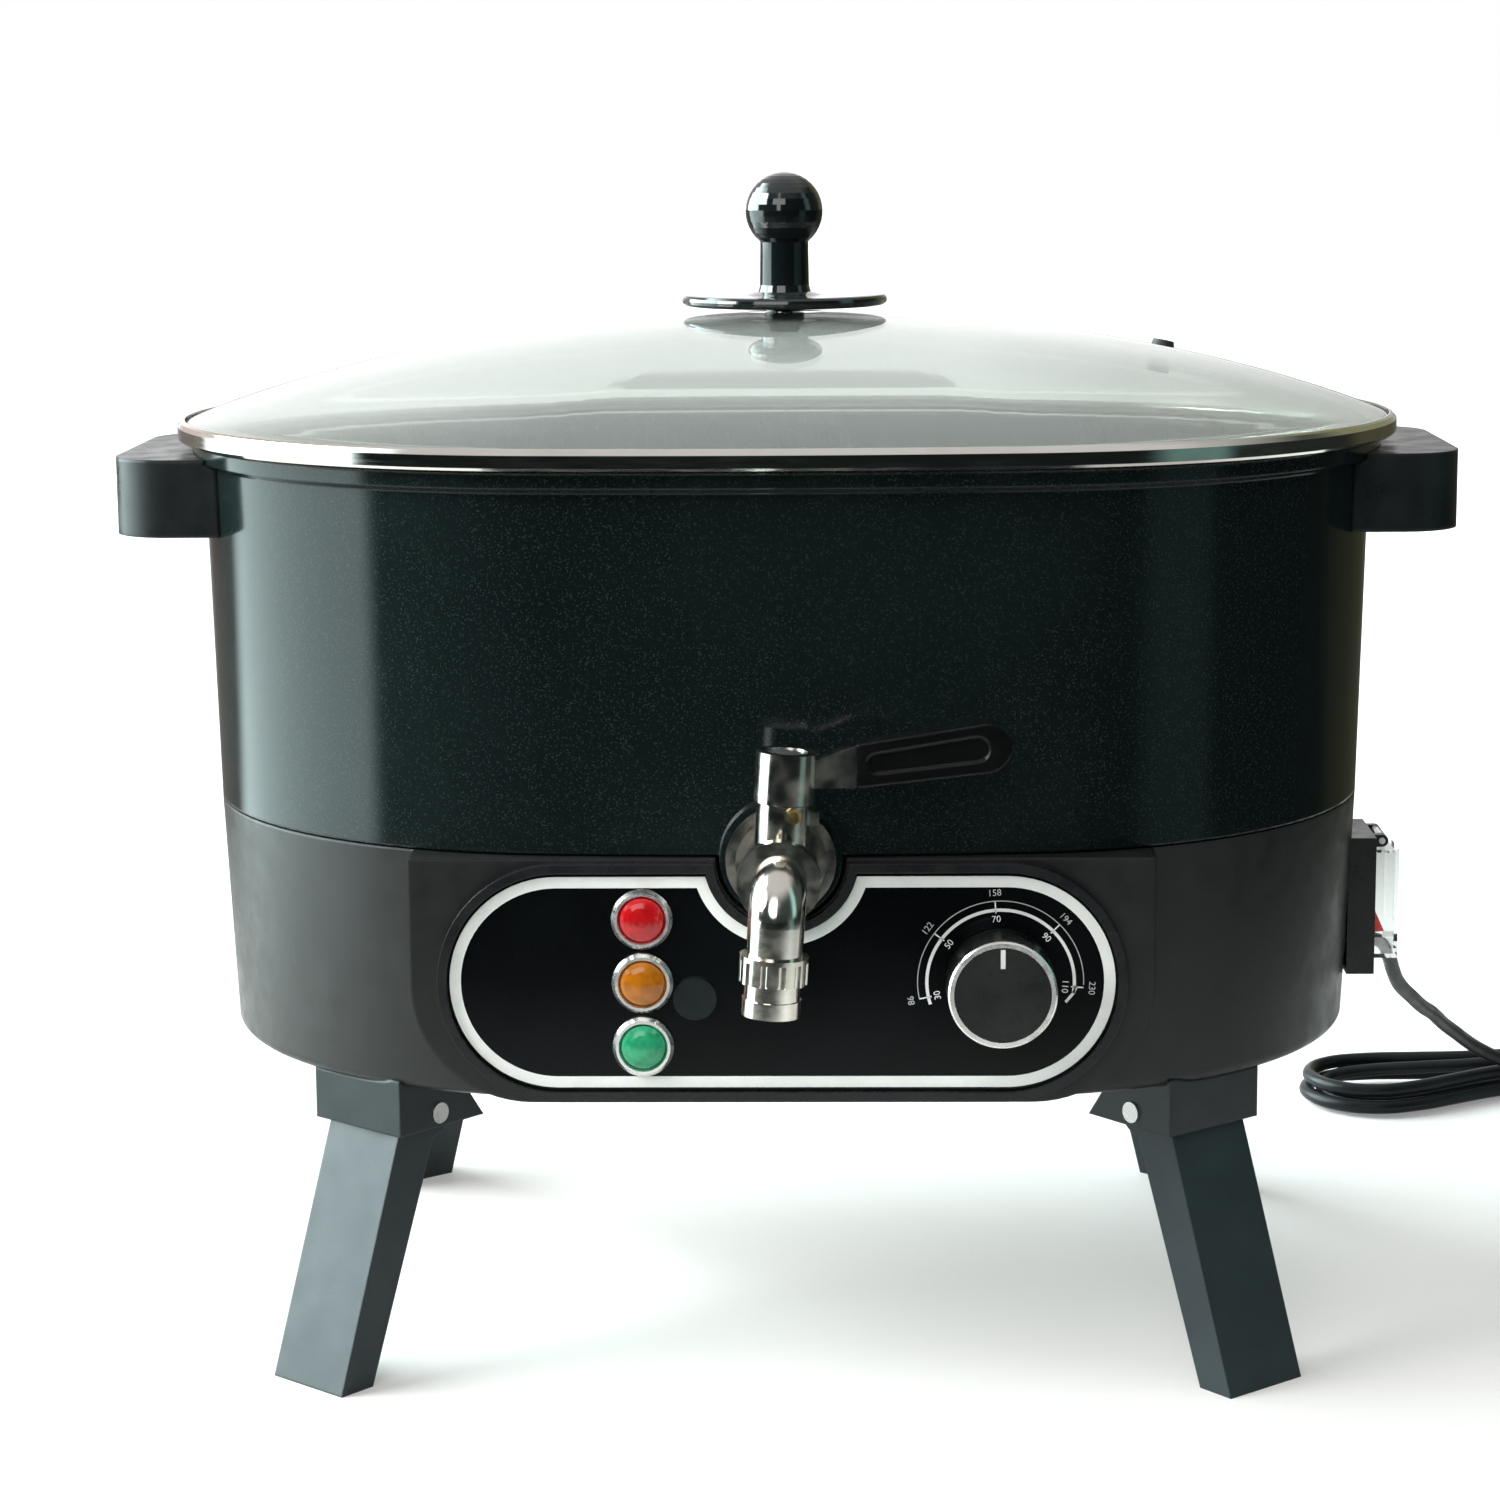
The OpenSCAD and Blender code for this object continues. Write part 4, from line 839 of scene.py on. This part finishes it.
def make_world():
    """White where it is looked at or looked through, and for all other rays the room and its ceiling."""
    world = bpy.data.worlds.new("studio")
    world.use_nodes = True
    nodes = world.node_tree.nodes
    links = world.node_tree.links
    nodes.clear()
    way = nodes.new("ShaderNodeSeparateXYZ")
    links.new(nodes.new("ShaderNodeTexCoord").outputs["Generated"], way.inputs["Vector"])
    around = room_around(nodes, links, way.outputs["X"], way.outputs["Y"])
    ceiling = nodes.new("ShaderNodeMix")
    ceiling.data_type = "RGBA"
    links.new(map_range(nodes, links, way.outputs["Z"], *CEILING_FROM), ceiling.inputs["Factor"])
    links.new(around, ceiling.inputs["A"])
    ceiling.inputs["B"].default_value = (*CEILING, 1)
    room = nodes.new("ShaderNodeBackground")
    room.inputs["Strength"].default_value = ROOM_STRENGTH
    links.new(ceiling.outputs["Result"], room.inputs["Color"])
    backdrop = nodes.new("ShaderNodeBackground")
    backdrop.inputs["Color"].default_value = (1, 1, 1, 1)
    mix = nodes.new("ShaderNodeMixShader")
    links.new(seen_by(nodes, links, "Is Camera Ray", "Is Transmission Ray"), mix.inputs["Fac"])
    links.new(room.outputs[0], mix.inputs[1])
    links.new(backdrop.outputs[0], mix.inputs[2])
    output = nodes.new("ShaderNodeOutputWorld")
    links.new(mix.outputs["Shader"], output.inputs["Surface"])
    bpy.context.scene.world = world


FLOOR_HALF = 40.0
FLOOR_PALE = (0.40, 0.40, 0.395)
FLOOR_WORN = (0.39, 0.39, 0.385)
FLOOR_FAR = (0.03, 0.03, 0.03)
FLOOR_SEEN = (0.64, 0.625, 0.605)
FLOOR_GLOW = 0.22
# Where the white table fades out, in front of the object and on its right, for all but camera rays
TABLE_FRONT = (-0.62, -0.38)
TABLE_RIGHT = (0.60, 0.34)
# How far off the floor turns into the room for mirrored rays, and how strongly it shows there
ROOM_FROM = (0.45, 0.85)
ROOM_LOW_STRENGTH = 4.2
# Mirrored rays start beside the floor's middle, so the turns at which they meet it come out wider
ROOM_LOW_SQUEEZE = 0.84


def mix_shaders(look, factor, first, second):
    """The first shader where the factor is 0, the second where it is 1."""
    node = look.nodes.new("ShaderNodeMixShader")
    look.links.new(factor, node.inputs["Fac"])
    look.links.new(first, node.inputs[1])
    look.links.new(second, node.inputs[2])
    return node.outputs["Shader"]


def seen_floor(look):
    """The floor as the camera sees it: white with the object's shadow."""
    shade = look.nodes.new("ShaderNodeBsdfDiffuse")
    shade.inputs["Color"].default_value = (*FLOOR_SEEN, 1)
    glow = look.nodes.new("ShaderNodeEmission")
    glow.inputs["Strength"].default_value = FLOOR_GLOW
    both = look.nodes.new("ShaderNodeAddShader")
    look.links.new(shade.outputs["BSDF"], both.inputs[0])
    look.links.new(glow.outputs["Emission"], both.inputs[1])
    return both.outputs["Shader"]


def low_room(look, x, y):
    """The room as it shows in the floor's far part."""
    room = look.nodes.new("ShaderNodeEmission")
    room.inputs["Strength"].default_value = ROOM_LOW_STRENGTH
    around = room_around(look.nodes, look.links, x, y, ROOM_LOW_SQUEEZE)
    look.links.new(around, room.inputs["Color"])
    return room.outputs["Emission"]


def make_floor():
    """A wide floor, white where it is lit, that keeps the object's soft shadow."""
    corners = [(-FLOOR_HALF, -FLOOR_HALF, 0), (FLOOR_HALF, -FLOOR_HALF, 0),
               (FLOOR_HALF, FLOOR_HALF, 0), (-FLOOR_HALF, FLOOR_HALF, 0)]
    floor = add_mesh("floor", corners, [(0, 1, 2, 3)])
    look = Look("floor_white", FLOOR_PALE, 0.7)
    nodes, links = look.nodes, look.links
    place = nodes.new("ShaderNodeSeparateXYZ")
    links.new(look.place, place.inputs["Vector"])
    x, y = place.outputs["X"], place.outputs["Y"]
    reach = nodes.new("ShaderNodeVectorMath")
    reach.operation = "LENGTH"
    links.new(look.place, reach.inputs[0])
    table = math_node(nodes, links, "MULTIPLY", map_range(nodes, links, y, *TABLE_FRONT),
                      map_range(nodes, links, x, *TABLE_RIGHT))
    worn = look.blend(look.spread(look.noise(3), 0.4, 0.7, 0, 1), look.color, FLOOR_WORN)
    look.tint(look.blend(look.spread(table, 0, 1, 1, 0), worn, FLOOR_FAR))
    mirrored = seen_by(nodes, links, "Is Glossy Ray")
    direct = seen_by(nodes, links, "Is Camera Ray", "Is Transmission Ray")
    shown = math_node(nodes, links, "MAXIMUM", direct, math_node(nodes, links, "MULTIPLY", table, mirrored))
    near = mix_shaders(look, shown, look.shader.outputs["BSDF"], seen_floor(look))
    far = map_range(nodes, links, reach.outputs["Value"], *ROOM_FROM)
    far_mirrored = math_node(nodes, links, "MULTIPLY", far, mirrored)
    whole = mix_shaders(look, far_mirrored, near, low_room(look, x, y))
    links.new(whole, nodes["Material Output"].inputs["Surface"])
    floor.data.materials.append(look.material)


def sun(name, towards, strength, spread, color=(1, 1, 1)):
    """A far lamp in this direction, even over the whole floor; its spread in degrees softens its shadows."""
    data = bpy.data.lights.new(name, "SUN")
    data.energy = strength
    data.angle = math.radians(spread)
    data.color = color
    piece = bpy.data.objects.new(name, data)
    piece.rotation_euler = Vector(towards).to_track_quat("Z", "Y").to_euler()
    bpy.context.scene.collection.objects.link(piece)


def make_lamps():
    """The main light from the left and a weaker one from the front."""
    sun("left_key", (-0.85, -0.28, 0.5), strength=3.6, spread=28, color=(0.97, 0.99, 1))
    sun("front_fill", (-0.25, -0.9, 0.5), strength=1.05, spread=36)


make_camera()
power_cord = make_cord()
lid_dome = make_lid_glass()
dress_all(power_cord, lid_dome)
make_world()
make_floor()
make_lamps()
bpy.context.scene.view_settings.view_transform = "Standard"
bpy.context.view_layer.update()
